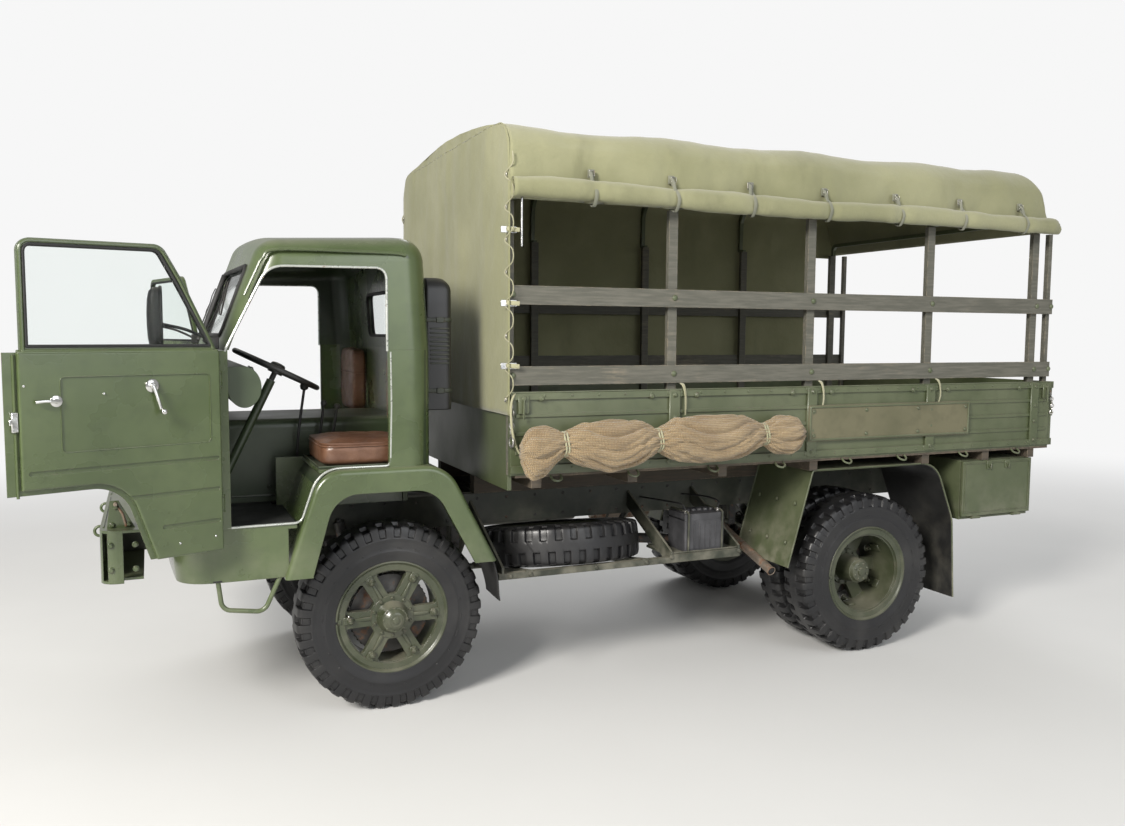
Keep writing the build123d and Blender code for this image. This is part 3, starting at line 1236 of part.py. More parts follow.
# left door, closed, with its hinge pin at the origin
with BuildPart() as door_blank:
    extrude(door_outline(PAN_EDGE, DOOR_SHUT_GAP + PAN_STEP).moved(Location((0, skin_in, 0))), amount=skin_in - pan_in)
    inner_face = door_blank.faces().sort_by(Axis.Y)[0]
    fillet(inner_face.edges(), radius=PAN_EDGE_R)
    with BuildSketch(Plane.XZ.offset(-pan_in - DOOR_RECESS[4])):
        with Locations((-(DOOR_RECESS[0] + DOOR_RECESS[1]) / 2, (DOOR_RECESS[2] + DOOR_RECESS[3]) / 2)):
            RectangleRounded(DOOR_RECESS[1] - DOOR_RECESS[0], DOOR_RECESS[3] - DOOR_RECESS[2], 18)
    extrude(amount=DOOR_RECESS[4] + 1, mode=Mode.SUBTRACT)
    for z, near, far in DOOR_GROOVES:
        with BuildSketch(Plane.XZ.offset(-pan_in - GROOVE_DEEP)):
            with Locations((-(near + far) / 2, z)):
                SlotOverall(far - near, GROOVE_H)
        extrude(amount=GROOVE_DEEP + 1, mode=Mode.SUBTRACT)
    extrude(door_outline(SKIN_EDGE, DOOR_SHUT_GAP).moved(Location((0, skin_out, 0))), amount=DOOR_SKIN_T)
    with BuildSketch(Plane.XZ.offset(-skin_out)):
        with BuildLine():
            FilletPolyline(*[(-s, z) for s, z in DOOR_FRAME], radius=DOOR_FRAME_R)
            Line((-DOOR_FRAME[-1][0], BELT - 1), (-DOOR_FRAME[0][0], BELT - 1))
        make_face()
    extrude(amount=FRAME_T)
    extrude(glass_outline(skin_out + 1), amount=FRAME_T + 30, mode=Mode.SUBTRACT)
    for z in HINGE_Z:
        with Locations((0, 0, z)):
            Cylinder(BARREL_R, 56)
        with Locations((-14, -8, z)):
            Box(20, 8, 56)
        with Locations((0, 0, z)):
            Cylinder(HINGE_PIN_R + RUN_FIT, 58, mode=Mode.SUBTRACT)

with BuildPart() as glass_blank:
    extrude(glass_outline(skin_out - (FRAME_T - GLASS_T) / 2), amount=GLASS_T)

for side, hand, opened in ((1, "left", LEFT_DOOR_OPEN), (-1, "right", RIGHT_DOOR_OPEN)):
    place = Location((DOOR_PIN_X, side * DOOR_PIN_Y, 0), (0, 0, -side * opened))
    for blank, label in ((door_blank, "door"), (glass_blank, "door_glass")):
        with BuildPart() as door_piece:
            handed = blank.part if side > 0 else mirror(blank.part, about=Plane.XZ, mode=Mode.PRIVATE)
            add(handed.moved(place))
        save(door_piece, f"{label}_{hand}")
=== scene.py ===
import json
import math

import bmesh
import bpy
import numpy as np
from mathutils import Matrix, Vector


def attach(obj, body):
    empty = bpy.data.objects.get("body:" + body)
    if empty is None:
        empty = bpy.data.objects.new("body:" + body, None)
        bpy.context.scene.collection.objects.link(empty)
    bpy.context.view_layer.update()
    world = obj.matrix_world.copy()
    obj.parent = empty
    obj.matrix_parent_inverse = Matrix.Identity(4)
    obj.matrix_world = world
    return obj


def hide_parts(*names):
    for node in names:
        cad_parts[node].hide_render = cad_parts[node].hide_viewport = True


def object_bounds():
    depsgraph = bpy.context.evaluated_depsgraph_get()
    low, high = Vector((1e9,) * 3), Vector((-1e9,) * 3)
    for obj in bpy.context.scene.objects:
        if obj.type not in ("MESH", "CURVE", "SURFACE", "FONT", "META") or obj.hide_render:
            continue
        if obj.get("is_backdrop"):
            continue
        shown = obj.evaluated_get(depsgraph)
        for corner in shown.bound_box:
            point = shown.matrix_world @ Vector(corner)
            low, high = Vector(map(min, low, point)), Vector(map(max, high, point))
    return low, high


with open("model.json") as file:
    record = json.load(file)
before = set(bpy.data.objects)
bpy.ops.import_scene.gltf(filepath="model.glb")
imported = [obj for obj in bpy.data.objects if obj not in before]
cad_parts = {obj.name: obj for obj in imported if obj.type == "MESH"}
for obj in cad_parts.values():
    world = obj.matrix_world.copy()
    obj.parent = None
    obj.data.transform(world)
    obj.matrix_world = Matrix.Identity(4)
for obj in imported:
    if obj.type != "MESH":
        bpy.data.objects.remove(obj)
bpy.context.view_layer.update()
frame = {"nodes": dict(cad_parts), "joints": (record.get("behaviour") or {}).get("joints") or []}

# Everything below is drawn in the truck's own frame, in metres: ground level, centre plane,
# under the front axle, +X ahead, +Y to the left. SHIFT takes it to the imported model's frame.
JOINT_POS = {joint["name"]: Vector(joint["pos_m"]) for joint in frame["joints"]}
STEER_MID = (JOINT_POS["left_steer"] + JOINT_POS["right_steer"]) / 2
SHIFT = Vector((STEER_MID.x, STEER_MID.y, 0.0))
ROOT = "truck"
AHEAD, LEFT, UP = (1, 0, 0), (0, 1, 0), (0, 0, 1)
SIDES = (1, -1)
HANDS = ((1, "left"), (-1, "right"))


# Camera
CAMERA_AT = Vector((1.1148, 5.593, 1.9592))
CAMERA_LOOKS = Vector((-0.3944, -0.9151, -0.0838)).normalized()
CAMERA_ROLL = 0.0061
CAMERA_LENS = 30.571

camera = bpy.data.objects.new("camera", bpy.data.cameras.new("camera"))
bpy.context.scene.collection.objects.link(camera)
camera.data.sensor_width = 36.0
camera.data.lens = CAMERA_LENS
level = CAMERA_LOOKS.cross(Vector(UP)).normalized()
above = level.cross(CAMERA_LOOKS)
across = level * math.cos(CAMERA_ROLL) + above * math.sin(CAMERA_ROLL)
upward = across.cross(CAMERA_LOOKS)
axes = Matrix((across, upward, -CAMERA_LOOKS)).transposed()
camera.matrix_world = Matrix.Translation(CAMERA_AT + SHIFT) @ axes.to_4x4()
camera.data.clip_end = 200
bpy.context.scene.camera = camera
bpy.context.scene.view_settings.view_transform = "Standard"


# Materials
RUST = (0.16, 0.075, 0.035)
BARE_PRIMER = (0.10, 0.085, 0.06)
CLOTH_DUST = (0.36, 0.35, 0.26)
GLASS_DUST = (0.75, 0.77, 0.74)
WAVE_TURN = 6.283


class Nodes:
    """Builds one node material."""

    def __init__(self, name):
        self.material = bpy.data.materials.new(name)
        self.material.use_nodes = True
        self.tree = self.material.node_tree
        self.shader = self.tree.nodes["Principled BSDF"]
        coords = self.tree.nodes.new("ShaderNodeTexCoord")
        self.place = coords.outputs["Object"]

    def add(self, kind, **inputs):
        node = self.tree.nodes.new(kind)
        for key, value in inputs.items():
            self.put(node, key, value)
        return node

    def put(self, node, key, value):
        name = key.replace("_", " ")
        self.feed(node.inputs[name] if name in node.inputs else node.inputs[int(key[1:])], value)

    def feed(self, socket, value):
        """Links another node's output to a socket, or sets the socket's own value."""
        if isinstance(value, bpy.types.NodeSocket):
            self.tree.links.new(value, socket)
        else:
            socket.default_value = value

    def math(self, operation, a, b=0.0, clamp=False):
        node = self.tree.nodes.new("ShaderNodeMath")
        node.operation = operation
        node.use_clamp = clamp
        self.put(node, "i0", a)
        self.put(node, "i1", b)
        return node.outputs[0]

    def scaled(self, factors):
        node = self.tree.nodes.new("ShaderNodeMapping")
        self.put(node, "Vector", self.place)
        node.inputs["Scale"].default_value = factors
        return node.outputs[0]

    def noise(self, scale, detail=3.0, roughness=0.55, stretch=None):
        place = self.scaled(stretch) if stretch else self.place
        node = self.add("ShaderNodeTexNoise", Vector=place, Scale=scale, Detail=detail, Roughness=roughness)
        return node.outputs["Fac"]

    def ramp(self, value, low, high, low_out=0.0, high_out=1.0):
        node = self.tree.nodes.new("ShaderNodeMapRange")
        node.interpolation_type = "SMOOTHSTEP"
        for key, number in (("Value", value), ("From Min", low), ("From Max", high),
                            ("To Min", low_out), ("To Max", high_out)):
            self.feed(node.inputs[key], number)
        return node.outputs["Result"]

    def mix(self, factor, a, b):
        node = self.tree.nodes.new("ShaderNodeMix")
        node.data_type = "RGBA"
        self.feed(node.inputs[0], factor)
        for index, value in ((6, a), (7, b)):
            self.feed(node.inputs[index], (*value, 1.0) if isinstance(value, tuple) else value)
        return node.outputs[2]

    def bump(self, height, strength, distance, normal=None):
        node = self.add("ShaderNodeBump", Height=height, Strength=strength, Distance=distance)
        if normal is not None:
            self.put(node, "Normal", normal)
        return node.outputs[0]

    def rounded(self, radius):
        node = self.tree.nodes.new("ShaderNodeBevel")
        node.samples = 6
        node.inputs["Radius"].default_value = radius
        return node.outputs[0]

    def weave(self, scales, **more):
        """Crossed threads: 1 where a warp and a weft thread both stand high."""
        threads = []
        for direction, scale in zip("XZ", scales):
            wave = self.add("ShaderNodeTexWave", Vector=self.place, Scale=scale, **more)
            wave.bands_direction = direction
            threads.append(wave.outputs["Fac"])
        return self.math("MULTIPLY", *threads)

    def facing_up(self):
        node = self.tree.nodes.new("ShaderNodeNewGeometry")
        split = self.add("ShaderNodeSeparateXYZ", Vector=node.outputs["Normal"])
        return split.outputs["Z"]

    def height(self):
        return self.add("ShaderNodeSeparateXYZ", Vector=self.place).outputs["Z"]

    def edges(self, radius, low=0.02, high=0.16):
        """1 along convex and concave edges, 0 on flats."""
        geometry = self.tree.nodes.new("ShaderNodeNewGeometry")
        dot = self.tree.nodes.new("ShaderNodeVectorMath")
        dot.operation = "DOT_PRODUCT"
        self.tree.links.new(geometry.outputs["Normal"], dot.inputs[0])
        self.tree.links.new(self.rounded(radius), dot.inputs[1])
        away = self.math("SUBTRACT", 1.0, dot.outputs["Value"])
        return self.ramp(away, low, high)

    def done(self, color, roughness, normal=None, **fixed):
        self.put(self.shader, "Base Color", color)
        self.put(self.shader, "Roughness", roughness)
        if normal is not None:
            self.put(self.shader, "Normal", normal)
        for key, value in fixed.items():
            self.shader.inputs[key.replace("_", " ")].default_value = value
        return self.material


def paint(name, base, faded, dust=(0.30, 0.28, 0.22), rough=0.36, dusty=0.5, chips=0.5, round_edges=0.005,
          low_dirt=1.0, coat=0.25):
    """Brush-painted steel: fading, dust where it lies, chips on edges, dirt towards the ground."""
    n = Nodes(name)
    broad = n.ramp(n.noise(1.6, 4.0), 0.38, 0.66)
    color = n.mix(broad, base, faded)
    mottled = n.ramp(n.noise(14.0, 5.0), 0.45, 0.75, 0.0, 0.35)
    color = n.mix(mottled, color, tuple(0.72 * c for c in base))
    lies = n.math("MULTIPLY", n.ramp(n.facing_up(), 0.55, 0.98),
                  n.ramp(n.noise(7.0, 4.0), 0.3, 0.8, 0.15, dusty))
    low = n.math("MULTIPLY", n.ramp(n.height(), 1.15, 0.35),
                 n.ramp(n.noise(9.0, 6.0), 0.35, 0.75, 0.0, 0.65))
    dirt = n.math("ADD", lies, n.math("MULTIPLY", low, low_dirt), clamp=True)
    color = n.mix(dirt, color, dust)
    worn = n.math("MULTIPLY", n.edges(round_edges * 1.6), n.ramp(n.noise(38.0, 4.0), 0.52, 0.62))
    color = n.mix(n.math("MULTIPLY", worn, chips), color, BARE_PRIMER)
    shine = n.math("ADD", n.ramp(n.noise(3.2, 4.0), 0.3, 0.7, rough - 0.05, rough + 0.09),
                   n.math("MULTIPLY", dirt, 0.35), clamp=True)
    peel = n.bump(n.noise(160.0, 2.0), 0.10, 0.002, n.rounded(round_edges))
    uneven = n.bump(n.noise(5.0, 2.0), 0.10, 0.02, peel)
    return n.done(color, shine, uneven, Coat_Weight=coat, Coat_Roughness=0.22)


def canvas(name, base, faded, weave=520.0, dust=0.35):
    """Woven cloth that has faded and stained, with dust on what faces up and a painted highlight where its
    threads stand high; weave counts threads.
    """
    n = Nodes(name)
    color = n.mix(n.ramp(n.noise(1.3, 5.0), 0.35, 0.68), base, faded)
    stains = n.ramp(n.noise(4.5, 6.0, stretch=(1.0, 1.0, 0.35)), 0.55, 0.78, 0.0, 0.45)
    color = n.mix(stains, color, tuple(0.62 * c for c in base))
    lies = n.math("MULTIPLY", n.ramp(n.facing_up(), 0.3, 0.95), dust)
    color = n.mix(lies, color, CLOTH_DUST)
    thread = n.weave((weave / WAVE_TURN,) * 2)
    # painted highlight: lighter where a warp and a weft thread both stand high
    color = n.mix(n.math("MULTIPLY", thread, 0.16), color, tuple(1.3 * c for c in base))
    fine = n.bump(thread, 0.25, 0.001)
    creases = n.bump(n.noise(11.0, 5.0, 0.6), 0.45, 0.012, fine)
    return n.done(color, 0.86, creases, Sheen_Weight=0.25, Sheen_Roughness=0.5)


def timber(name, base, faded, bare=(0.30, 0.24, 0.16)):
    """Painted boards with grain, worn to bare wood in patches and along edges."""
    n = Nodes(name)
    grain = n.noise(9.0, 6.0, 0.6, stretch=(0.7, 9.0, 9.0))
    color = n.mix(n.ramp(grain, 0.35, 0.7), base, faded)
    patch = n.math("MULTIPLY", n.ramp(n.noise(3.0, 6.0), 0.56, 0.72), n.ramp(grain, 0.4, 0.6))
    color = n.mix(n.math("MULTIPLY", patch, 0.55), color, bare)
    worn = n.math("MULTIPLY", n.edges(0.007), n.ramp(n.noise(20.0, 5.0), 0.45, 0.6))
    color = n.mix(n.math("MULTIPLY", worn, 0.7), color, bare)
    lines = n.bump(grain, 0.35, 0.003, n.rounded(0.004))
    return n.done(color, n.ramp(grain, 0.3, 0.7, 0.62, 0.82), lines)


def rubber(name, base, dust, shine, dusty):
    """Dark rubber with dust in broad patches."""
    n = Nodes(name)
    color = n.mix(n.ramp(n.noise(5.0, 6.0), 0.40, 0.78, 0.0, dusty), base, dust)
    color = n.mix(n.ramp(n.noise(60.0, 4.0), 0.55, 0.8, 0.0, 0.3), color, tuple(1.8 * c for c in base))
    rough = n.ramp(n.noise(4.0, 4.0), 0.3, 0.7, shine - 0.08, shine + 0.16)
    return n.done(color, rough, n.bump(n.noise(240.0, 3.0), 0.2, 0.0012, n.rounded(0.002)))


def metal(name, base, rusty=0.3, rough=0.38, metallic=0.9):
    """Bare metal with spots of rust."""
    n = Nodes(name)
    spots = n.ramp(n.noise(18.0, 7.0, 0.65), 0.62 - 0.25 * rusty, 0.74 - 0.1 * rusty, 0.0,
                   1.0 if rusty else 0.0)
    color = n.mix(spots, base, RUST)
    shine = n.math("ADD", n.ramp(n.noise(30.0, 3.0), 0.3, 0.7, rough - 0.06, rough + 0.08),
                   n.math("MULTIPLY", spots, 0.4), clamp=True)
    n.put(n.shader, "Metallic", n.math("SUBTRACT", metallic, n.math("MULTIPLY", spots, 0.6), clamp=True))
    return n.done(color, shine, n.bump(n.noise(90.0, 5.0), 0.15, 0.002, n.rounded(0.002)))


def hessian(name, base, dark):
    """Coarse open-woven sacking, with painted shade in the gaps between its threads."""
    n = Nodes(name)
    color = n.mix(n.ramp(n.noise(6.0, 6.0), 0.35, 0.7), base, dark)
    thread = n.weave((40.0, 37.0), Distortion=1.2, Detail=2.0)
    # painted shade: darker where the threads stand low, in the gaps of the weave
    color = n.mix(n.ramp(thread, 0.02, 0.25, 0.75, 0.0), color, tuple(0.45 * c for c in dark))
    cloth = n.bump(thread, 1.0, 0.006)
    return n.done(color, 0.95, n.bump(n.noise(26.0, 5.0), 0.5, 0.01, cloth), Sheen_Weight=0.3)


def leather(name, base, worn):
    """Grained seat leather, lighter where it is worn."""
    n = Nodes(name)
    color = n.mix(n.ramp(n.noise(8.0, 6.0), 0.4, 0.7), base, worn)
    cells = n.add("ShaderNodeTexVoronoi", Vector=n.place, Scale=260.0)
    grain = n.bump(cells.outputs["Distance"], 0.3, 0.001)
    folds = n.bump(n.noise(34.0, 5.0), 0.4, 0.004, grain)
    return n.done(color, n.ramp(n.noise(10.0), 0.3, 0.7, 0.34, 0.55), folds)


def glazing(name, tint=(0.92, 0.96, 0.94), dusty=0.10):
    """Clear glass with a film of dust."""
    n = Nodes(name)
    film = n.ramp(n.noise(3.0, 5.0), 0.35, 0.8, 0.02, dusty)
    n.put(n.shader, "Transmission Weight", 1.0)
    return n.done(n.mix(film, tint, GLASS_DUST), n.ramp(film, 0.0, 0.2, 0.02, 0.09), IOR=1.08)


def plain(name, base, rough=0.6, grit=0.25):
    """One colour, a little mottled."""
    n = Nodes(name)
    color = n.mix(n.ramp(n.noise(12.0, 5.0), 0.35, 0.75), base,
                  tuple(min(1.0, c * 1.6 + 0.01) for c in base))
    return n.done(color, n.ramp(n.noise(8.0), 0.3, 0.7, rough - 0.08, rough + 0.08),
                  n.bump(n.noise(120.0, 3.0), grit, 0.002, n.rounded(0.003)))


OLIVE = (0.050, 0.072, 0.025)
OLIVE_FADED = (0.070, 0.096, 0.036)
M = {
    "paint": paint("olive_paint", OLIVE, OLIVE_FADED, rough=0.27, dusty=0.3, low_dirt=0.55, coat=0.5),
    # painted shade: a darker copy of the olive paint, for the cab's inside, the dashboard, the engine cover
    # and the fittings in the cab
    "paint_inside": paint("olive_paint_inside", (0.026, 0.040, 0.018), (0.038, 0.054, 0.026),
                          rough=0.42, dusty=0.22),
    "wheel_paint": paint("olive_wheel_paint", (0.036, 0.044, 0.022), (0.056, 0.062, 0.034),
                         rough=0.30, chips=0.9, low_dirt=0.22),
    "bed_paint": paint("olive_bed_paint", (0.068, 0.084, 0.040), (0.100, 0.114, 0.062), rough=0.38,
                       chips=0.9),
    "frame_paint": paint("frame_paint", (0.020, 0.024, 0.015), (0.032, 0.036, 0.024),
                         rough=0.5, dusty=0.5, chips=0.6, coat=0.0),
    "black_paint": paint("black_paint", (0.011, 0.011, 0.011), (0.022, 0.022, 0.021),
                         rough=0.42, dusty=0.25, low_dirt=0.2, chips=0.3, coat=0.0),
    "tilt": canvas("tilt_canvas", (0.20, 0.20, 0.105), (0.265, 0.262, 0.15)),
    "webbing": canvas("webbing", (0.30, 0.29, 0.18), (0.38, 0.36, 0.24), weave=900.0),
    "strap": canvas("strap_webbing", (0.155, 0.16, 0.115), (0.20, 0.20, 0.15), weave=900.0, dust=0.2),
    "timber": timber("slat_timber", (0.080, 0.079, 0.062), (0.125, 0.120, 0.098)),
    "floor_timber": timber("floor_timber", (0.055, 0.045, 0.032), (0.09, 0.07, 0.05)),
    "rubber": rubber("tyre_rubber", (0.010, 0.010, 0.011), (0.10, 0.096, 0.088), 0.38, 0.17),
    "seal": rubber("rubber_seal", (0.012, 0.012, 0.012), (0.06, 0.06, 0.055), 0.6, 0.15),
    "casting": metal("oily_casting", (0.06, 0.058, 0.055), rusty=0.35, rough=0.5, metallic=0.6),
    "steel": metal("bare_steel", (0.42, 0.41, 0.39), rusty=0.25),
    "bright": metal("bright_metal", (0.50, 0.50, 0.49), rusty=0.0, rough=0.24, metallic=1.0),
    "rusty": metal("rusty_steel", (0.30, 0.25, 0.20), rusty=0.8, rough=0.45, metallic=0.7),
    "netting": hessian("scrim_hessian", (0.46, 0.335, 0.18), (0.33, 0.23, 0.118)),
    "leather": leather("brown_leather", (0.085, 0.038, 0.02), (0.14, 0.07, 0.04)),
    "glass": glazing("window_glass"),
    "lens": glazing("lamp_lens", (0.95, 0.96, 0.93), 0.05),
    "red_lens": plain("red_lens", (0.35, 0.015, 0.01), 0.25, 0.1),
    "mirror": metal("mirror_face", (0.88, 0.89, 0.9), rusty=0.0, rough=0.07, metallic=1.0),
    "battery": plain("battery_case", (0.035, 0.035, 0.038), 0.5),
    # painted shade: a near-black finish put where only shade is seen, ahead of the engine and down the tail
    # pipe
    "dark": plain("dark_void", (0.01, 0.01, 0.01), 0.8),
    "mat": plain("floor_mat", (0.012, 0.013, 0.012), 0.75, 0.4),
    "edge_trim": metal("edge_trim", (0.52, 0.54, 0.50), rusty=0.05, rough=0.30, metallic=0.7),
    "chrome": metal("worn_chrome", (0.62, 0.62, 0.60), rusty=0.04, rough=0.16, metallic=1.0),
    "board": paint("board_paint", (0.095, 0.092, 0.050), (0.135, 0.125, 0.072), rough=0.5, coat=0.0),
}

# which finish each plain piece takes
NODES_OF = {
    "battery": "battery",
    "bed_paint": "bed_sides canopy_bows rear_mudguards tailgate tool_box tool_box_lid",
    "black_paint": "air_intake steering_wheel",
    "casting": "engine_and_driveline front_axle knuckle_left knuckle_right rear_axle",
    "floor_timber": "bed_floor",
    "frame_paint": "chassis_frame fuel_tank leaf_springs spare_rack",
    "glass": "door_glass_left door_glass_right windows",
    "leather": "seats",
    "lens": "lamps",
    "mirror": "mirrors",
    "netting": "net_roll",
    # painted shade: the darker inside copy of the olive paint
    "paint_inside": "dashboard engine_cover",
    "rubber": "front_tyre_left front_tyre_right rear_tyres_left rear_tyres_right spare_tyre",
    "rusty": "exhaust",
    "tilt": "canopy",
    "timber": "side_rack_left side_rack_right",
    "wheel_paint": "front_wheel_left front_wheel_right rear_wheel_left rear_wheel_right spare_wheel",
}
FINISH_OF = {node: finish for finish, nodes in NODES_OF.items() for node in nodes.split()}
for name, node in frame["nodes"].items():
    node.data.materials.clear()
    node.data.materials.append(M[FINISH_OF.get(name, "paint")])


# Studio
FLOOR_SIZE = 120.0
FLOOR_NEAR, FLOOR_FAR = 3.6, 11.0
BACKDROP = 0.93
WORLD_LIGHT = 0.46

world = bpy.data.worlds.new("studio")
bpy.context.scene.world = world
world.use_nodes = True
tree = world.node_tree
background = tree.nodes["Background"]
background.inputs["Color"].default_value = (1.0, 1.0, 1.0, 1.0)
path = tree.nodes.new("ShaderNodeLightPath")
seen = tree.nodes.new("ShaderNodeMath")
seen.operation = "MAXIMUM"
tree.links.new(path.outputs["Is Camera Ray"], seen.inputs[0])
tree.links.new(path.outputs["Is Transmission Ray"], seen.inputs[1])
strength = tree.nodes.new("ShaderNodeMapRange")
strength.inputs["To Min"].default_value = WORLD_LIGHT
strength.inputs["To Max"].default_value = BACKDROP
tree.links.new(seen.outputs[0], strength.inputs["Value"])
tree.links.new(strength.outputs["Result"], background.inputs["Strength"])

floor_mesh = bpy.data.meshes.new("floor")
half = FLOOR_SIZE / 2
floor_mesh.from_pydata([(-half, -half, 0), (half, -half, 0), (half, half, 0), (-half, half, 0)], [],
                       [(0, 1, 2, 3)])
floor = bpy.data.objects.new("floor", floor_mesh)
bpy.context.scene.collection.objects.link(floor)
ground = Nodes("studio_floor")
ground_shade = ground.mix(ground.noise(0.7, 3.0), (0.62, 0.62, 0.61), (0.68, 0.68, 0.67))
floor_mesh.materials.append(ground.done(ground_shade, 0.8))
# towards the horizon the floor runs into the backdrop, for the camera alone
ground_tree = ground.tree
length = ground_tree.nodes.new("ShaderNodeVectorMath")
length.operation = "LENGTH"
ground.put(length, "i0", ground.scaled((0.8, 1.0, 1.0)))
ray = ground_tree.nodes.new("ShaderNodeLightPath")
far_off = ground.math("MULTIPLY", ground.ramp(length.outputs["Value"], FLOOR_NEAR, FLOOR_FAR),
                      ground.math("MAXIMUM", ray.outputs["Is Camera Ray"],
                                  ray.outputs["Is Transmission Ray"]))
plain_light = ground.add("ShaderNodeEmission", Color=(1.0, 1.0, 1.0, 1.0), Strength=BACKDROP)
blend = ground.add("ShaderNodeMixShader", i0=far_off, i1=ground.shader.outputs[0],
                   i2=plain_light.outputs[0])
ground_tree.links.new(blend.outputs[0], ground_tree.nodes["Material Output"].inputs["Surface"])
floor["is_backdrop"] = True

LIGHTS = (
    # name, place, aim, size, watts, colour
    ("key", (7.6, 7.4, 6.8), (-1.2, 0.3, 1.0), 3.0, 2000.0, (1.0, 0.965, 0.91)),
    ("fill", (-3.5, 9.0, 4.5), (-1.6, 0.0, 1.0), 6.0, 300.0, (0.93, 0.96, 1.0)),
    ("back", (-6.0, -7.0, 6.0), (-1.6, 0.0, 1.5), 6.0, 400.0, (1.0, 1.0, 1.0)),
)
for name, place, aim, size, watts, color in LIGHTS:
    light = bpy.data.lights.new(name, "AREA")
    light.size = size
    light.energy = watts
    light.color = color
    lamp = bpy.data.objects.new(name, light)
    bpy.context.scene.collection.objects.link(lamp)
    lamp.location = Vector(place) + SHIFT
    lamp.rotation_euler = (Vector(aim) - Vector(place)).to_track_quat("-Z", "Y").to_euler()


# Mesh pieces
def smooth(value):
    """0 below 0, 1 above 1, eased between."""
    value = np.clip(value, 0.0, 1.0)
    return value * value * (3.0 - 2.0 * value)


def ripple(x, y, seed, octaves=4, scale=1.0):
    """A repeatable bumpy field of about -1 to 1 made of a few turned waves."""
    total = np.zeros(np.broadcast(x, y).shape)
    rng = np.random.RandomState(seed)
    weight = 1.0
    reach = 0.0
    for _ in range(octaves):
        for _ in range(3):
            angle, phase = rng.uniform(0, math.tau, 2)
            swirl = 0.8 * np.sin(0.6 * scale * (y * math.cos(angle) - x * math.sin(angle)))
            total += weight * np.sin(scale * (x * math.cos(angle) + y * math.sin(angle)) + phase + swirl)
        reach += 2.0 * weight
        weight *= 0.55
        scale *= 1.9
    return total / reach


# a small domed rivet: distance along, radius
RIVET = ((0, 0.0075), (0.0022, 0.0065), (0.0035, 0.003))


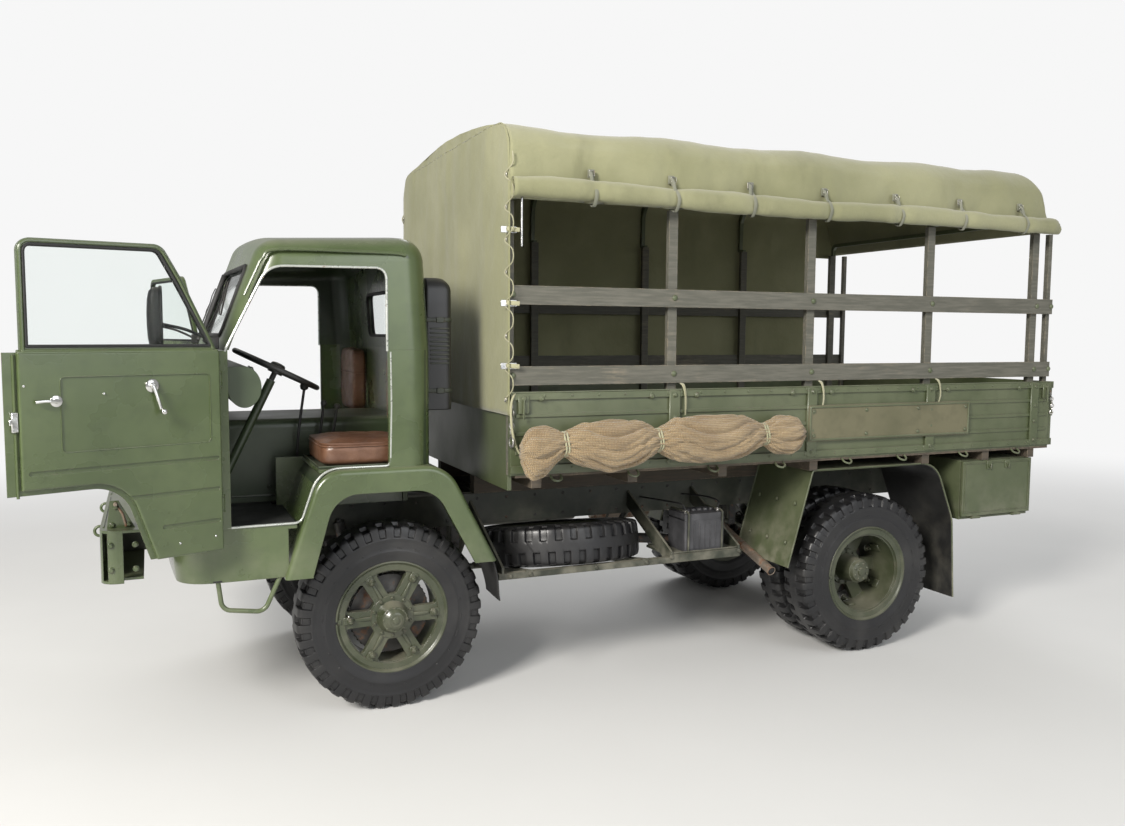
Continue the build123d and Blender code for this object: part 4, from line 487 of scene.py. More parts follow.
class Piece:
    """Gathers faces drawn in the truck's own frame and makes one object of them."""

    def __init__(self):
        self.points = []
        self.faces = []
        self.count = 0

    def add(self, points, faces, place=None):
        """Adds points and the faces between them, moved to a place."""
        points = np.asarray(points, float).reshape(-1, 3)
        if place is not None:
            turn = np.array(place)
            points = points @ turn[:3, :3].T + turn[:3, 3]
        self.points.append(points)
        self.faces.extend([tuple(i + self.count for i in face) for face in faces])
        self.count += len(points)
        return self

    def box(self, low, high, chamfer=0.003, place=None):
        """A block with every edge broken."""
        low, high = np.minimum(low, high), np.maximum(low, high)
        chamfer = min(chamfer, 0.3 * float((high - low).min()))
        points = []
        index = {}
        for corner in range(8):
            pick = np.array([(corner >> axis) & 1 for axis in range(3)])
            for axis in range(3):
                point = np.where(pick, high, low).astype(float)
                for other in range(3):
                    if other != axis:
                        point[other] += chamfer * (1 - 2 * pick[other])
                index[corner, axis] = len(points)
                points.append(point)
        faces = []
        for axis in range(3):
            a, b = (axis + 1) % 3, (axis + 2) % 3
            for end in (0, 1):
                ring = [(end << axis) | (i << a) | (j << b) for i, j in ((0, 0), (1, 0), (1, 1), (0, 1))]
                face = [index[c, axis] for c in ring]
                faces.append(face if end else face[::-1])
            for i in (0, 1):
                for j in (0, 1):
                    c0 = (i << a) | (j << b)
                    c1 = c0 | (1 << axis)
                    face = [index[c0, a], index[c1, a], index[c1, b], index[c0, b]]
                    faces.append(face if i ^ j else face[::-1])
        for corner in range(8):
            face = [index[corner, axis] for axis in range(3)]
            faces.append(face if bin(corner).count("1") % 2 else face[::-1])
        return self.add(points, faces, place)

    def grid(self, rows, wrap_u=False, wrap_v=False, place=None):
        """A surface through rows; wrap_u joins the last row to the first, wrap_v closes each row."""
        rows = np.asarray(rows, float)
        n, m = rows.shape[:2]
        faces = []
        for i in range(n if wrap_u else n - 1):
            for j in range(m if wrap_v else m - 1):
                i2, j2 = (i + 1) % n, (j + 1) % m
                faces.append((i * m + j, i * m + j2, i2 * m + j2, i2 * m + j))
        return self.add(rows, faces, place)

    def cap_ends(self, sides, rows):
        """Closes both ends of the rows added last."""
        base, last = self.count - sides * rows, self.count - sides
        self.faces.append(tuple(base + k for k in range(sides))[::-1])
        self.faces.append(tuple(last + k for k in range(sides)))

    def turned(self, profile, start, axis, sides=16, cap=True):
        """A profile of (distance along, radius) turned about an axis through start."""
        axis = Vector(axis).normalized()
        u = axis.orthogonal().normalized()
        v = axis.cross(u)
        start = Vector(start)
        rows = []
        for along, radius in profile:
            ring = []
            for k in range(sides):
                a = math.tau * k / sides
                ring.append(start + axis * along + (u * math.cos(a) + v * math.sin(a)) * radius)
            rows.append(ring)
        self.grid(rows, wrap_v=True)
        if cap:
            self.cap_ends(sides, len(rows))
        return self

    def rod(self, start, end, radius, sides=12, chamfer=0.0015):
        """A round bar between two points, its ends broken."""
        start, end = Vector(start), Vector(end)
        run = (end - start).length
        chamfer = min(chamfer, radius * 0.4, run * 0.3)
        profile = [(0, radius - chamfer), (chamfer, radius), (run - chamfer, radius),
                   (run, radius - chamfer)]
        return self.turned(profile, start, end - start, sides)

    def bolt(self, at, axis, radius=0.009, height=0.007, washer=0.0):
        """A hexagon head, with its washer, seated at a point."""
        base = 0.0
        if washer:
            self.turned([(0, washer), (0.0015, washer), (0.002, washer - 0.0008)], at, axis, 14)
            base = 0.002
        profile = [(base, radius), (base + height * 0.75, radius), (base + height, radius * 0.82)]
        return self.turned(profile, at, axis, 6)

    def bolts_round(self, count, radius, y, size, axis=LEFT, offset=0.0):
        """Bolt heads in a circle about the y axis."""
        for k in range(count):
            a = math.tau * (k + offset) / count
            self.bolt((radius * math.cos(a), y, radius * math.sin(a)), axis, *size)

    def rivet(self, at, axis):
        """A small rivet's head seated at a point."""
        return self.turned(RIVET, at, axis, 10)

    def loop(self, line, radius, place, sides=8, **more):
        """A closed bead along a flat line; place turns each pair of the line into a point."""
        return self.tube([place(a, b) for a, b in line], radius, sides, True, **more)

    def ring(self, at, axis, radius, tube, sides=40, round_sides=8):
        """A torus."""
        axis = Vector(axis).normalized()
        u = axis.orthogonal().normalized()
        v = axis.cross(u)
        rows = []
        for k in range(sides):
            a = math.tau * k / sides
            out = u * math.cos(a) + v * math.sin(a)
            rows.append([
                Vector(at) + out * (radius + tube * math.cos(b)) + axis * tube * math.sin(b)
                for b in (math.tau * j / round_sides for j in range(round_sides))
            ])
        return self.grid(rows, wrap_u=True, wrap_v=True)

    def tube(self, path, radius, sides=8, closed=False, flat=1.0, steady=None):
        """A bar swept along points; flat squeezes it along the sweep's own side."""
        path = [Vector(p) for p in path]
        n = len(path)
        side = None
        rows = []
        for k in range(n):
            ahead = path[(k + 1) % n] if closed else path[min(k + 1, n - 1)]
            behind = path[(k - 1) % n] if closed else path[max(k - 1, 0)]
            run = (ahead - behind).normalized()
            if side is None:
                side = (Vector(steady) if steady is not None else run.orthogonal()).normalized()
            side = (side - run * side.dot(run)).normalized()
            other = run.cross(side)
            r = radius[k] if hasattr(radius, "__len__") else radius
            rows.append([
                path[k] + side * (r * math.cos(a)) + other * (r * flat * math.sin(a))
                for a in (math.tau * j / sides for j in range(sides))
            ])
        self.grid(rows, wrap_u=closed, wrap_v=True)
        if not closed:
            self.cap_ends(sides, n)
        return self

    def build(self, name, material, body=ROOT, sharp=38.0, place=None, replaces=()):
        """Makes the mesh object, gives it to a body and hides the CAD pieces it stands for."""
        points = np.vstack(self.points)
        if place is not None:
            turn = np.array(place)
            points = points @ turn[:3, :3].T + turn[:3, 3]
        points = points + np.array(SHIFT)
        mesh = bpy.data.meshes.new(name)
        mesh.from_pydata(points.tolist(), [], self.faces)
        tidy = bmesh.new()
        tidy.from_mesh(mesh)
        bmesh.ops.recalc_face_normals(tidy, faces=tidy.faces)
        tidy.to_mesh(mesh)
        tidy.free()
        mesh.shade_smooth()
        mesh.set_sharp_from_angle(angle=math.radians(sharp))
        mesh.materials.append(M[material])
        obj = bpy.data.objects.new(name, mesh)
        bpy.context.scene.collection.objects.link(obj)
        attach(obj, body)
        if replaces:
            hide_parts(*replaces)
        return obj


def spline(points, steps=8):
    """A smooth line through points."""
    pts = [Vector(p) for p in points]
    pts = [pts[0] * 2 - pts[1]] + pts + [pts[-1] * 2 - pts[-2]]
    out = []
    for k in range(1, len(pts) - 2):
        a, b, c, d = pts[k - 1:k + 3]
        for j in range(steps):
            t = j / steps
            out.append(0.5 * ((2 * b) + (c - a) * t + (2 * a - 5 * b + 4 * c - d) * t * t
                              + (3 * b - a - 3 * c + d) * t ** 3))
    out.append(pts[-2])
    return out


# Tilt
TILT_HALF = 1.085
EAVE_Z, SHOULDER_Z, CROWN_Z = 2.620, 2.890, 3.085
TILT_FRONT, TILT_REAR = -0.540, -4.290
HOOD_REACH, HOOD_DROP = 0.350, 0.340
BOWS = (-0.565, -1.500, -2.420, -3.320)
STRAPS = (-0.98, -1.45, -1.95, -2.45, -2.97, -3.48, -3.98)
SHEET_T = 0.0015
# the hood's top lies ahead of the tilt's rear end
HOOD_FRONT = TILT_REAR + HOOD_REACH
HOOD_TOP = CROWN_Z + 0.040
CURTAIN_REAR, CURTAIN_LOW = -4.080, 1.676
EYELET = (0.011, 0.0028, 18, 6)
EYELET_Z = np.arange(1.62, 2.88, 0.16)
# a strap over the roll: share of its lean, out from the tilt's side, up from the eave
STRAP_LINE = ((0, -0.002, 0.150), (0.3, 0.020, 0.112), (0.6, 0.052, 0.082), (1, 0.070, 0.045),
              (1, 0.062, 0.010), (0.8, 0.036, -0.020), (0.5, 0.004, -0.010))
BUCKLE_LINE = ((-0.014, 0, -0.012), (0.014, 0, -0.012), (0.014, 0.004, 0.014), (-0.014, 0.004, 0.014))


def bow(p0, p1, p2, count):
    """Points on the circle through three points, first to last, in the plane y, z."""
    (ax, ay), (bx, by), (cx, cy) = p0, p1, p2
    d = 2 * (ax * (by - cy) + bx * (cy - ay) + cx * (ay - by))
    sa, sb, sc = ax ** 2 + ay ** 2, bx ** 2 + by ** 2, cx ** 2 + cy ** 2
    ux = (sa * (by - cy) + sb * (cy - ay) + sc * (ay - by)) / d
    uy = (sa * (cx - bx) + sb * (ax - cx) + sc * (bx - ax)) / d
    r = math.hypot(ax - ux, ay - uy)
    a0, a2 = math.atan2(ay - uy, ax - ux), math.atan2(cy - uy, cx - ux)
    a2 += math.tau * round((a0 - a2) / math.tau)
    return [(ux + r * math.cos(a0 + (a2 - a0) * t), uy + r * math.sin(a0 + (a2 - a0) * t))
            for t in np.linspace(0, 1, count)]


def tilt_section():
    """Half of the tilt's cross-section, left eave to crown, then its mirror: points (y, z)."""
    half, lean, turn_z = TILT_HALF, 0.008, SHOULDER_Z + 0.130
    low = [(half - lean * (z - EAVE_Z) / (SHOULDER_Z - EAVE_Z), z)
           for z in np.linspace(EAVE_Z, SHOULDER_Z, 12)[:-1]]
    turn = bow((half - lean, SHOULDER_Z), (half - 0.070, SHOULDER_Z + 0.090), (half - 0.210, turn_z), 14)
    crown = bow((half - 0.210, turn_z), (0, CROWN_Z), (-half + 0.210, turn_z), 41)
    left = low + turn[:-1] + crown[:21]
    return np.array(left + [(-y, z) for y, z in left[-2::-1]])


def hood_height(x):
    """Height of the tilt's rear end at x."""
    line = bow((TILT_REAR + 0.060, EAVE_Z + 0.130), (TILT_REAR + HOOD_REACH * 0.42, EAVE_Z + HOOD_DROP),
               (HOOD_FRONT, HOOD_TOP), 30)
    line = np.array(sorted([(HOOD_FRONT, HOOD_TOP), *line, (TILT_REAR, EAVE_Z)]))
    return np.interp(x, line[:, 0], line[:, 1])


section = tilt_section()
run_x = np.concatenate([np.linspace(TILT_FRONT, HOOD_FRONT + 0.05, 150),
                        np.linspace(HOOD_FRONT + 0.03, TILT_REAR, 46)])
X, V = np.meshgrid(run_x, np.arange(len(section)), indexing="ij")
Y, Z = section[V, 0], section[V, 1]
hood = hood_height(X)
# the lower of crown and hood, eased where they meet
soft = 0.018
mean = 0.5 * (Z + hood) - np.sqrt((0.5 * (Z - hood)) ** 2 + soft ** 2) + 0.5 * soft
Z = np.where(X < HOOD_FRONT + 0.12, np.minimum(Z, mean), Z)
nearest = np.min(np.abs(X[..., None] - np.array(BOWS + (HOOD_FRONT,))), axis=-1)
slack = smooth(nearest / 0.42)
height = np.clip((Z - EAVE_Z) / (CROWN_Z - EAVE_Z), 0, 1)
across = np.clip(np.abs(Y) / TILT_HALF, 0, 1)
side_in = np.sign(Y) * smooth((across - 0.93) / 0.05)
# the cloth hangs a little between the bows, and creases where the straps pull it down
Z = Z - 0.030 * slack * smooth((height - 0.35) / 0.5) * (0.8 + 0.2 * np.cos(3 * Y))
Y = Y - side_in * 0.016 * slack * smooth((height - 0.03) / 0.25)
pull = sum(np.exp(-((X - s - 0.05 * (height - 0.2)) / 0.055) ** 2) for s in STRAPS)
Y = Y - side_in * 0.009 * pull * smooth((0.72 - height) / 0.5) * (Y > 0)
wrinkle = ripple(X * 3.1, (Y + 2 * Z) * 2.2, 5, 5, 2.1) * 0.0055
wrinkle = wrinkle + ripple(X * 9.0, (Y + 2 * Z) * 3.0, 8, 3, 2.2) * 0.0022
Z = Z + wrinkle * smooth((height - 0.3) / 0.5)
Y = Y + side_in * wrinkle * 1.3
drape = 0.006 * np.sin((X + 0.35 * Z) * 21.0 + 2.0 * np.sin(X * 3.7)) * smooth((0.55 - height) / 0.5)
Y = Y + side_in * drape * slack

# the left edge is rolled up outside the eave and strapped
turns, per_turn = 1.75, 26
roll_t = np.linspace(0, 1, int(turns * per_turn))
RX, RT = np.meshgrid(run_x, roll_t, indexing="ij")
lump = 1.0 + 0.16 * ripple(RX * 4.2, RT * 0.4, 21, 4, 1.9)
pinch = 1.0 - 0.34 * sum(np.exp(-((RX - s) / 0.045) ** 2)
                         for s in STRAPS) - 0.3 * smooth((-RX - 4.22) / 0.07)
wide = (0.044 - 0.016 * RT) * lump * pinch
tall = (0.060 - 0.022 * RT) * lump * (1.0 - 0.22 * (1 - pinch))
angle = math.pi + RT * turns * math.tau
centre_y = TILT_HALF + 0.036 + 0.004 * ripple(RX * 2.0, 0 * RX, 3, 3, 2.0)
centre_z = EAVE_Z + 0.045 + 0.012 * ripple(RX * 1.7, 0 * RX, 4, 3, 1.6)
roll_y = centre_y + wide * np.cos(angle) + 0.0022 * ripple(RX * 22, angle * 0.6, 31, 3, 1.0)
roll_z = centre_z - tall * np.sin(angle) + 0.0022 * ripple(RX * 19, angle * 0.8, 37, 3, 1.0)
roll_z = np.minimum(roll_z, np.maximum(hood_height(RX) + 0.02, EAVE_Z + 0.01))

# the right edge hangs down as a curtain, ahead of the rear stake
drop = np.linspace(0, 1, 34)[1:]
DX, DD = np.meshgrid(run_x, drop, indexing="ij")
reach = np.where(DX > CURTAIN_REAR, 1.0, 0.02)
CZ = Z[:, -1:] - DD * reach * (EAVE_Z - CURTAIN_LOW)
billow = 0.010 * np.sin(DX * 13 + 1.3 * np.sin(DX * 4.1)) * DD
CY = -TILT_HALF - billow - 0.006 * ripple(DX * 6, CZ * 1.5, 12, 4, 1.5)


def sheet(name, rows, **more):
    """A canvas sheet through rows of points, and its area."""
    obj = Piece().grid(rows).build(name, "tilt", sharp=180, **more)
    obj.modifiers.new("cloth", "SOLIDIFY").thickness = SHEET_T
    return obj, sum(face.area for face in obj.data.polygons)


left_roll = np.stack([RX, roll_y, roll_z], -1)[:, ::-1]
cloth = np.concatenate([left_roll, np.stack([X, Y, Z], -1), np.stack([DX, CY, CZ], -1)], 1)
tilt, tilt_area = sheet("tilt_sheet", cloth, replaces=("canopy",))

# front curtain, laced to the tilt along its edge
low_line = np.array([(TILT_HALF, z) for z in np.linspace(1.540, EAVE_Z, 40)[:-1]])
left_half = np.vstack([low_line, section[:len(section) // 2 + 1]])
spread = np.linspace(1, -1, 64)
FY = left_half[:, :1] * spread[None, :]
FZ = left_half[:, 1:] * np.ones_like(spread)[None, :]
FX = np.full_like(FY, TILT_FRONT - 0.004)
fold = 0.010 * ripple(FY * 5.5, FZ * 1.0, 41, 4, 1.3) + 0.005 * ripple(FY * 12, FZ * 5, 44, 3, 1.3)
edge_in = smooth((TILT_HALF - np.abs(FY)) / 0.12)
FX = FX + fold * (0.25 + 0.75 * edge_in) + 0.006
front_curtain, front_area = sheet("front_curtain", np.stack([FX, FY * 0.998, FZ], -1))

# straps with buckles across the roll, eyelets and lacing
piece = Piece()
buckles = Piece()
for k, x in enumerate(STRAPS):
    lean = 0.012 * math.sin(4.1 * k)
    over = [(x + lean * share, TILT_HALF + out, EAVE_Z + up) for share, out, up in STRAP_LINE]
    piece.tube(spline(over, 6), 0.0105, 8, flat=0.16, steady=AHEAD)
    piece.box((x - 0.018, TILT_HALF - 0.008, EAVE_Z + 0.128),
              (x + 0.018, TILT_HALF + 0.003, EAVE_Z + 0.172), 0.002)
    tail = [(x + 0.010, TILT_HALF + 0.008, EAVE_Z + 0.160),
            (x + 0.014 + lean, TILT_HALF + 0.034, EAVE_Z + 0.128),
            (x + 0.018 + lean * 1.4, TILT_HALF + 0.050, EAVE_Z + 0.088 - 0.008 * (k % 3))]
    piece.tube(spline(tail, 6), 0.0095, 8, flat=0.16, steady=AHEAD)
    yb, zb = TILT_HALF + 0.010, EAVE_Z + 0.150
    buckle = [(x + lean + dx, yb - dy, zb + dz) for dx, dy, dz in BUCKLE_LINE]
    buckles.tube(buckle, 0.002, 6, True)
straps = piece.build("tilt_straps", "strap", sharp=50)
lace = Piece()
for side in SIDES:
    knots = []
    for z in EYELET_Z:
        buckles.ring((TILT_FRONT + 0.012, side * (TILT_HALF - 0.035), z), AHEAD, *EYELET)
        knots.append((TILT_FRONT + 0.017, side * (TILT_HALF - 0.035), z))
        knots.extend((TILT_FRONT - 0.01, side * (TILT_HALF + 0.006), z + up) for up in (0.05, 0.11))
    lace.tube(spline(knots, 5), 0.0032, 6)
for x in (-0.66, -1.06, -1.5, -1.9, -2.35, -2.8, -3.2, -3.6, -3.95):
    buckles.ring((x, -TILT_HALF - 0.004, CURTAIN_LOW + 0.03), LEFT, *EYELET)
buckles.build("tilt_buckles", "steel")
lace.build("front_lacing", "webbing", sharp=60)

# Scrim net, rolled and tied
NET_Y, NET_Z = 1.1675, 1.395
# in millimetres along the roll: place, half its height, half its depth, how far it hangs
NET = np.array([[mm / 1000 for mm in row] for row in (
    (-575, 44, 40, 40), (-590, 105, 62, 44), (-625, 146, 84, 46), (-690, 138, 86, 30), (-755, 92, 70, 8),
    (-800, 62, 58, 0), (-850, 96, 80, 6), (-920, 122, 95, 12), (-1060, 141, 102, 18), (-1220, 124, 97, 10),
    (-1300, 86, 78, 4), (-1340, 60, 58, 0), (-1385, 90, 78, 2), (-1450, 120, 94, 4), (-1620, 137, 102, 8),
    (-1860, 125, 97, 0), (-1960, 84, 76, -4), (-2010, 60, 58, -6), (-2045, 84, 70, -4), (-2100, 112, 82, 0),
    (-2190, 123, 84, 6), (-2240, 104, 70, 4), (-2280, 46, 40, 0))])
TIES = (-0.800, -1.340, -2.010)
RACK_FACE_Y = 1.0665
net_x = np.linspace(NET[0, 0], NET[-1, 0], 420)
kernel = np.hanning(15) / np.hanning(15).sum()
half_h, half_d, drop_z = (
    np.convolve(np.pad(np.interp(net_x, NET[::-1, 0], NET[::-1, column]), 7, mode="edge"), kernel, "valid")
    for column in (1, 2, 3)
)
NX, NA = np.meshgrid(net_x, np.linspace(0, math.tau, 150, endpoint=False), indexing="ij")
near_tie = np.min(np.abs(NX[..., None] - np.array(TIES)), -1)
gather = np.exp(-near_tie / 0.10)
loose = smooth(near_tie / 0.16)
crease = (0.55 * np.abs(np.sin(NA * 4.0 + NX * 17 + 1.7 * ripple(NX * 5, NA * 0.5, 51, 3, 1.0))) ** 0.7
          + 0.45 * np.abs(np.sin(NA * 9.0 - NX * 11 + 2.0 * ripple(NX * 7, NA * 0.7, 52, 3, 1.0))) ** 0.7)
puff = ripple(NX * 9, NA * 1.6, 53, 4, 1.0)
bounds = np.array((NET[0, 0],) + TIES + (NET[-1, 0],))
part = np.clip(np.searchsorted(-bounds, -NX) - 1, 0, len(bounds) - 2)
along = np.clip((bounds[part] - NX) / (bounds[part] - bounds[part + 1]), 0, 1)
swag = np.sin(math.pi * along) * np.where((part == 0) | (part == 3), 0.35, 1.25)
slant = np.abs(np.sin(3.5 * (NA + swag) + 0.9 * ripple(NX * 3, NA * 0.6, 54, 2, 1.0)))
swept = np.abs(np.sin(6.0 * (NA + 0.9 * swag) + 1.6 * ripple(NX * 3.4, NA * 0.6, 57, 3, 1.0)))
off = (-0.030 * gather * (1 - crease) - 0.017 * loose * (1 - slant) ** 2
       - 0.009 * loose * (1 - swept) ** 1.5 + 0.007 * puff * loose - 0.003 * (1 - crease) * loose)
ny = NET_Y + (half_d[:, None] + off) * np.cos(NA)
nz = NET_Z - drop_z[:, None] + (half_h[:, None] + off) * np.sin(NA)
ny = np.maximum(ny, RACK_FACE_Y)
piece = Piece()
piece.grid(np.stack([NX, ny, nz], -1), wrap_v=True)
for end, row in ((0, 0), (-1, len(net_x) - 1)):
    centre = [net_x[end], float(ny[row].mean()), float(nz[row].mean())]
    base = piece.count
    piece.add([centre], [])
    first = row * NX.shape[1]
    piece.faces.extend([(first + k, first + (k + 1) % NX.shape[1], base) for k in range(NX.shape[1])])
net = piece.build("rolled_scrim_net", "netting", sharp=180, replaces=("net_roll",))
piece = Piece()
for x in TIES:
    k = int(np.argmin(np.abs(net_x - x)))
    for shift_x in (-0.008, 0.008):
        cord = [
            (x + shift_x + 0.004 * math.sin(3 * a), NET_Y + (half_d[k] - 0.006) * math.cos(a),
             NET_Z - drop_z[k] + (half_h[k] - 0.006) * math.sin(a))
            for a in np.linspace(0, math.tau, 40, endpoint=False)
        ]
        piece.tube(cord, 0.0055, 8, closed=True)
piece.build("net_ties", "webbing", sharp=60)

# Seats
def cushion(low, high, crown, seam, name, seed, dip=0.0):
    """A stuffed block with a crowned top, soft edges, a piped seam and creases."""
    low, high = np.array(low), np.array(high)
    n, power = 40, 7.0
    u = np.linspace(-1, 1, n)
    half = (high - low) / 2
    mid = (high + low) / 2
    piece = Piece()
    for axis in range(3):
        a, b = (axis + 1) % 3, (axis + 2) % 3
        for end in (-1, 1):
            A, B = np.meshgrid(u, u, indexing="ij")
            p = np.zeros((n, n, 3))
            p[..., axis], p[..., a], p[..., b] = end, A, B
            length = (np.abs(p) ** power).sum(-1) ** (1 / power)
            p = p / length[..., None]
            q = p * (half - 0.004)
            top = smooth((p[..., 2] - 0.55) / 0.4)
            lift = crown * (1 - p[..., 0] ** 2) * (1 - p[..., 1] ** 2)
            crease = 0.0045 * ripple(q[..., 0] * 30, q[..., 1] * 30, seed, 4, 1.0) * top
            dent = dip * np.exp(-(p[..., 0] ** 2 + p[..., 1] ** 2) / 0.35)
            q[..., 2] += top * (lift - crown - dent) + crease
            pull = 0.0055 * np.exp(-((q[..., 2] - half[2] * seam) / 0.012) ** 2)
            for way in (0, 1):
                q[..., way] -= np.sign(p[..., way]) * pull * (np.abs(p[..., way]) > 0.8)
            for way, other, own_seed in ((0, 1, seed + 3), (1, 0, seed + 5)):
                bumps = ripple(q[..., other] * 40, q[..., 2] * 50, own_seed, 3, 1.0)
                q[..., way] += 0.002 * bumps * (np.abs(p[..., way]) > 0.8)
            piece.grid(q + mid)
    rim = []
    for a in np.linspace(0, math.tau, 72, endpoint=False):
        c, s = math.cos(a), math.sin(a)
        r = 1 / (abs(c) ** power + abs(s) ** power) ** (1 / power)
        rim.append((mid[0] + c * r * (half[0] - 0.005), mid[1] + s * r * (half[1] - 0.005),
                    mid[2] + half[2] * seam))
    piece.tube(rim, 0.0045, 8, closed=True)
    obj = piece.build(name, "leather", sharp=180)
    weld = obj.modifiers.new("weld", "WELD")
    weld.merge_threshold = 0.0004
    return obj


SEAT_IN, SEAT_OUT, BACK_OUT = 0.450, 0.950, 0.885
for side, hand in HANDS:
    y0, y1 = sorted((side * SEAT_IN, side * SEAT_OUT))
    corners = (-0.075, y0, 1.3003), (0.375, y1, 1.4503)
    seat = cushion(*corners, 0.022, 0.35, f"seat_cushion_{hand}", 61, 0.012)
    y0, y1 = sorted((side * SEAT_IN, side * BACK_OUT))
    cushion((-0.1447, y0, 1.460), (-0.0447, y1, 1.860), 0.010, 0.2, f"seat_back_{hand}", 71)
    if side > 0:
        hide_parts("seats")


# Tyres and wheels
TYRE_R, WHEELBASE = 0.488, 2.913
FRONT_Y, REAR_OUT_Y, REAR_IN_Y = 0.706, 0.916, 0.652
LUGS = 36
TYRE_PROFILE = (
    # across from the tyre's middle, radius, share of a slot's depth
    (0.086, 0.262, 0), (0.094, 0.276, 0), (0.100, 0.290, 0), (0.1035, 0.300, 0), (0.1035, 0.306, 0),
    (0.1075, 0.318, 0), (0.1100, 0.336, 0), (0.1122, 0.345, 0), (0.1122, 0.349, 0), (0.1112, 0.351, 0),
    (0.1122, 0.372, 0), (0.1122, 0.388, 0), (0.1115, 0.404, 0), (0.1128, 0.408, 0), (0.1126, 0.412, 0),
    (0.1110, 0.418, 0.10), (0.1105, 0.424, 0.9), (0.1085, 0.440, 1), (0.1058, 0.456, 1), (0.1022, 0.469, 1),
    (0.0965, 0.4785, 1), (0.0880, 0.4830, 1), (0.0740, 0.4855, 1), (0.0580, 0.4868, 1), (0.0430, 0.4874, 1),
    (0.0340, 0.4877, 0.94), (0.0300, 0.4878, 0.12), (0.0270, 0.4879, 0), (0.0130, 0.4880, 0),
    (0.0, 0.4880, 0),
)
# one block and the slot behind it: places along a pitch, and how deep the slot is at each
PITCH = np.array((0.0, 0.06, 0.18, 0.30, 0.42, 0.50, 0.56, 0.61, 0.68, 0.80, 0.93))
SLOT = np.array((1.0, 0.06, 0, 0, 0, 0, 0.06, 1, 1, 1, 1))
SHOULDER_R = 0.470
TREAD_DEPTH, WALL_DEPTH = 0.0215, 0.0095
WALL_BARS = 24
SPOKES = 6
DRUM_FINS = 48
RIM_LIP_Y = 0.093
HUB_AXIS = LEFT
# radius, height and washer of the nuts
RIM_NUT = (0.0165, 0.015, 0.021)
RIM_NUT_REAR = (0.0165, 0.015, 0.022)


def tyre_piece(name, body, place, stands_for):
    """A road tyre with two staggered rows of blocks, moulded rings on its walls and worn edges."""
    rows = []
    bead_y, bead_r = 0.086, 0.258
    full = [(bead_y, bead_r, 0, 1)] + [(y, r, share, 1) for y, r, share in TYRE_PROFILE]
    full += [(-y, r, share, -1) for y, r, share in TYRE_PROFILE[-2::-1]] + [(-bead_y, bead_r, 0, -1)]
    turns = (np.arange(LUGS)[:, None] + PITCH[None, :]).ravel() / LUGS
    slots = np.tile(SLOT, LUGS)
    rng = np.random.RandomState(17)
    wear = np.repeat(rng.uniform(0.0, 0.0012, LUGS), len(PITCH))
    for y, r, share, side in full:
        stagger = 0.25 * side * smooth(abs(y) / 0.028) / LUGS
        # blocks widen at their inner end, so the slots narrow to rounded ends
        narrow = 0.0 if abs(y) > 0.040 else 0.35
        angle = math.tau * (turns + stagger)
        if r > SHOULDER_R:
            depth = TREAD_DEPTH * share * np.clip(slots - narrow * (slots < 1), 0, 1)
            radius, along = r - depth - wear, y * np.ones_like(angle)
        else:
            depth = WALL_DEPTH * share * slots
            radius, along = r - 0.25 * depth, y - np.sign(y) * depth
        rows.append(np.stack([radius * np.cos(angle), along, radius * np.sin(angle)], -1))
    piece = Piece()
    piece.grid(rows, wrap_v=True)
    # moulded pips and blank bars on the wall
    for side in SIDES:
        for k in range(WALL_BARS):
            turn = Matrix.Rotation(-math.tau * (k + 0.5) / WALL_BARS, 4, "Y")
            wide = 0.016 if k % 6 in (1, 2) else 0.004
            piece.box((0.358, side * 0.1105, -wide), (0.366, side * 0.1136, wide), 0.0008, turn)
    return piece.build(name, "rubber", body, sharp=34, place=place, replaces=stands_for)


def wheel_at(x, y, side, roll=0.0):
    """A wheel's place, its outer face turned to its own side."""
    turn = Matrix.Rotation(0.0 if side > 0 else math.pi, 4, "Z")
    return Matrix.Translation((x, y, TYRE_R)) @ turn @ Matrix.Rotation(roll, 4, "Y")


SPARE = Matrix.Translation((-1.060, 0.462, 0.7285)) @ Matrix.Rotation(math.radians(100), 4, "X")
for side, hand in HANDS:
    place = wheel_at(0, side * FRONT_Y, side, 0.3 * side)
    tyre_piece(f"tyre_front_{hand}", f"front_{hand}_wheel", place, (f"front_tyre_{hand}",))
    for which, y, roll, stands_for in (("outer", REAR_OUT_Y, 0.7, (f"rear_tyres_{hand}",)),
                                       ("inner", REAR_IN_Y, 1.9, ())):
        place = wheel_at(-WHEELBASE, side * y, side, roll)
        tyre_piece(f"tyre_rear_{hand}_{which}", f"rear_{hand}_wheels", place, stands_for)
tyre_piece("tyre_spare", ROOT, SPARE, ("spare_tyre",))


# the rim's lip and split lock ring: distance out from the lip, radius
LOCK_RING = ((-0.004, 0.2915), (0.004, 0.2945), (0.0105, 0.2930), (0.0120, 0.2860),
             (0.0060, 0.2800), (0.0010, 0.2760), (-0.0040, 0.2680), (-0.0120, 0.2600))


def lock_ring(piece, y):
    """The rim's lip and its lock ring, with the block at the split, on the outer face."""
    angles = np.linspace(0.02, math.tau - 0.02, 96)
    piece.grid([[(radius * math.cos(a), y + out, radius * math.sin(a)) for a in angles]
                for out, radius in LOCK_RING])
    piece.box((0.262, y - 0.006, -0.012), (0.284, y + 0.006, 0.012), 0.002)


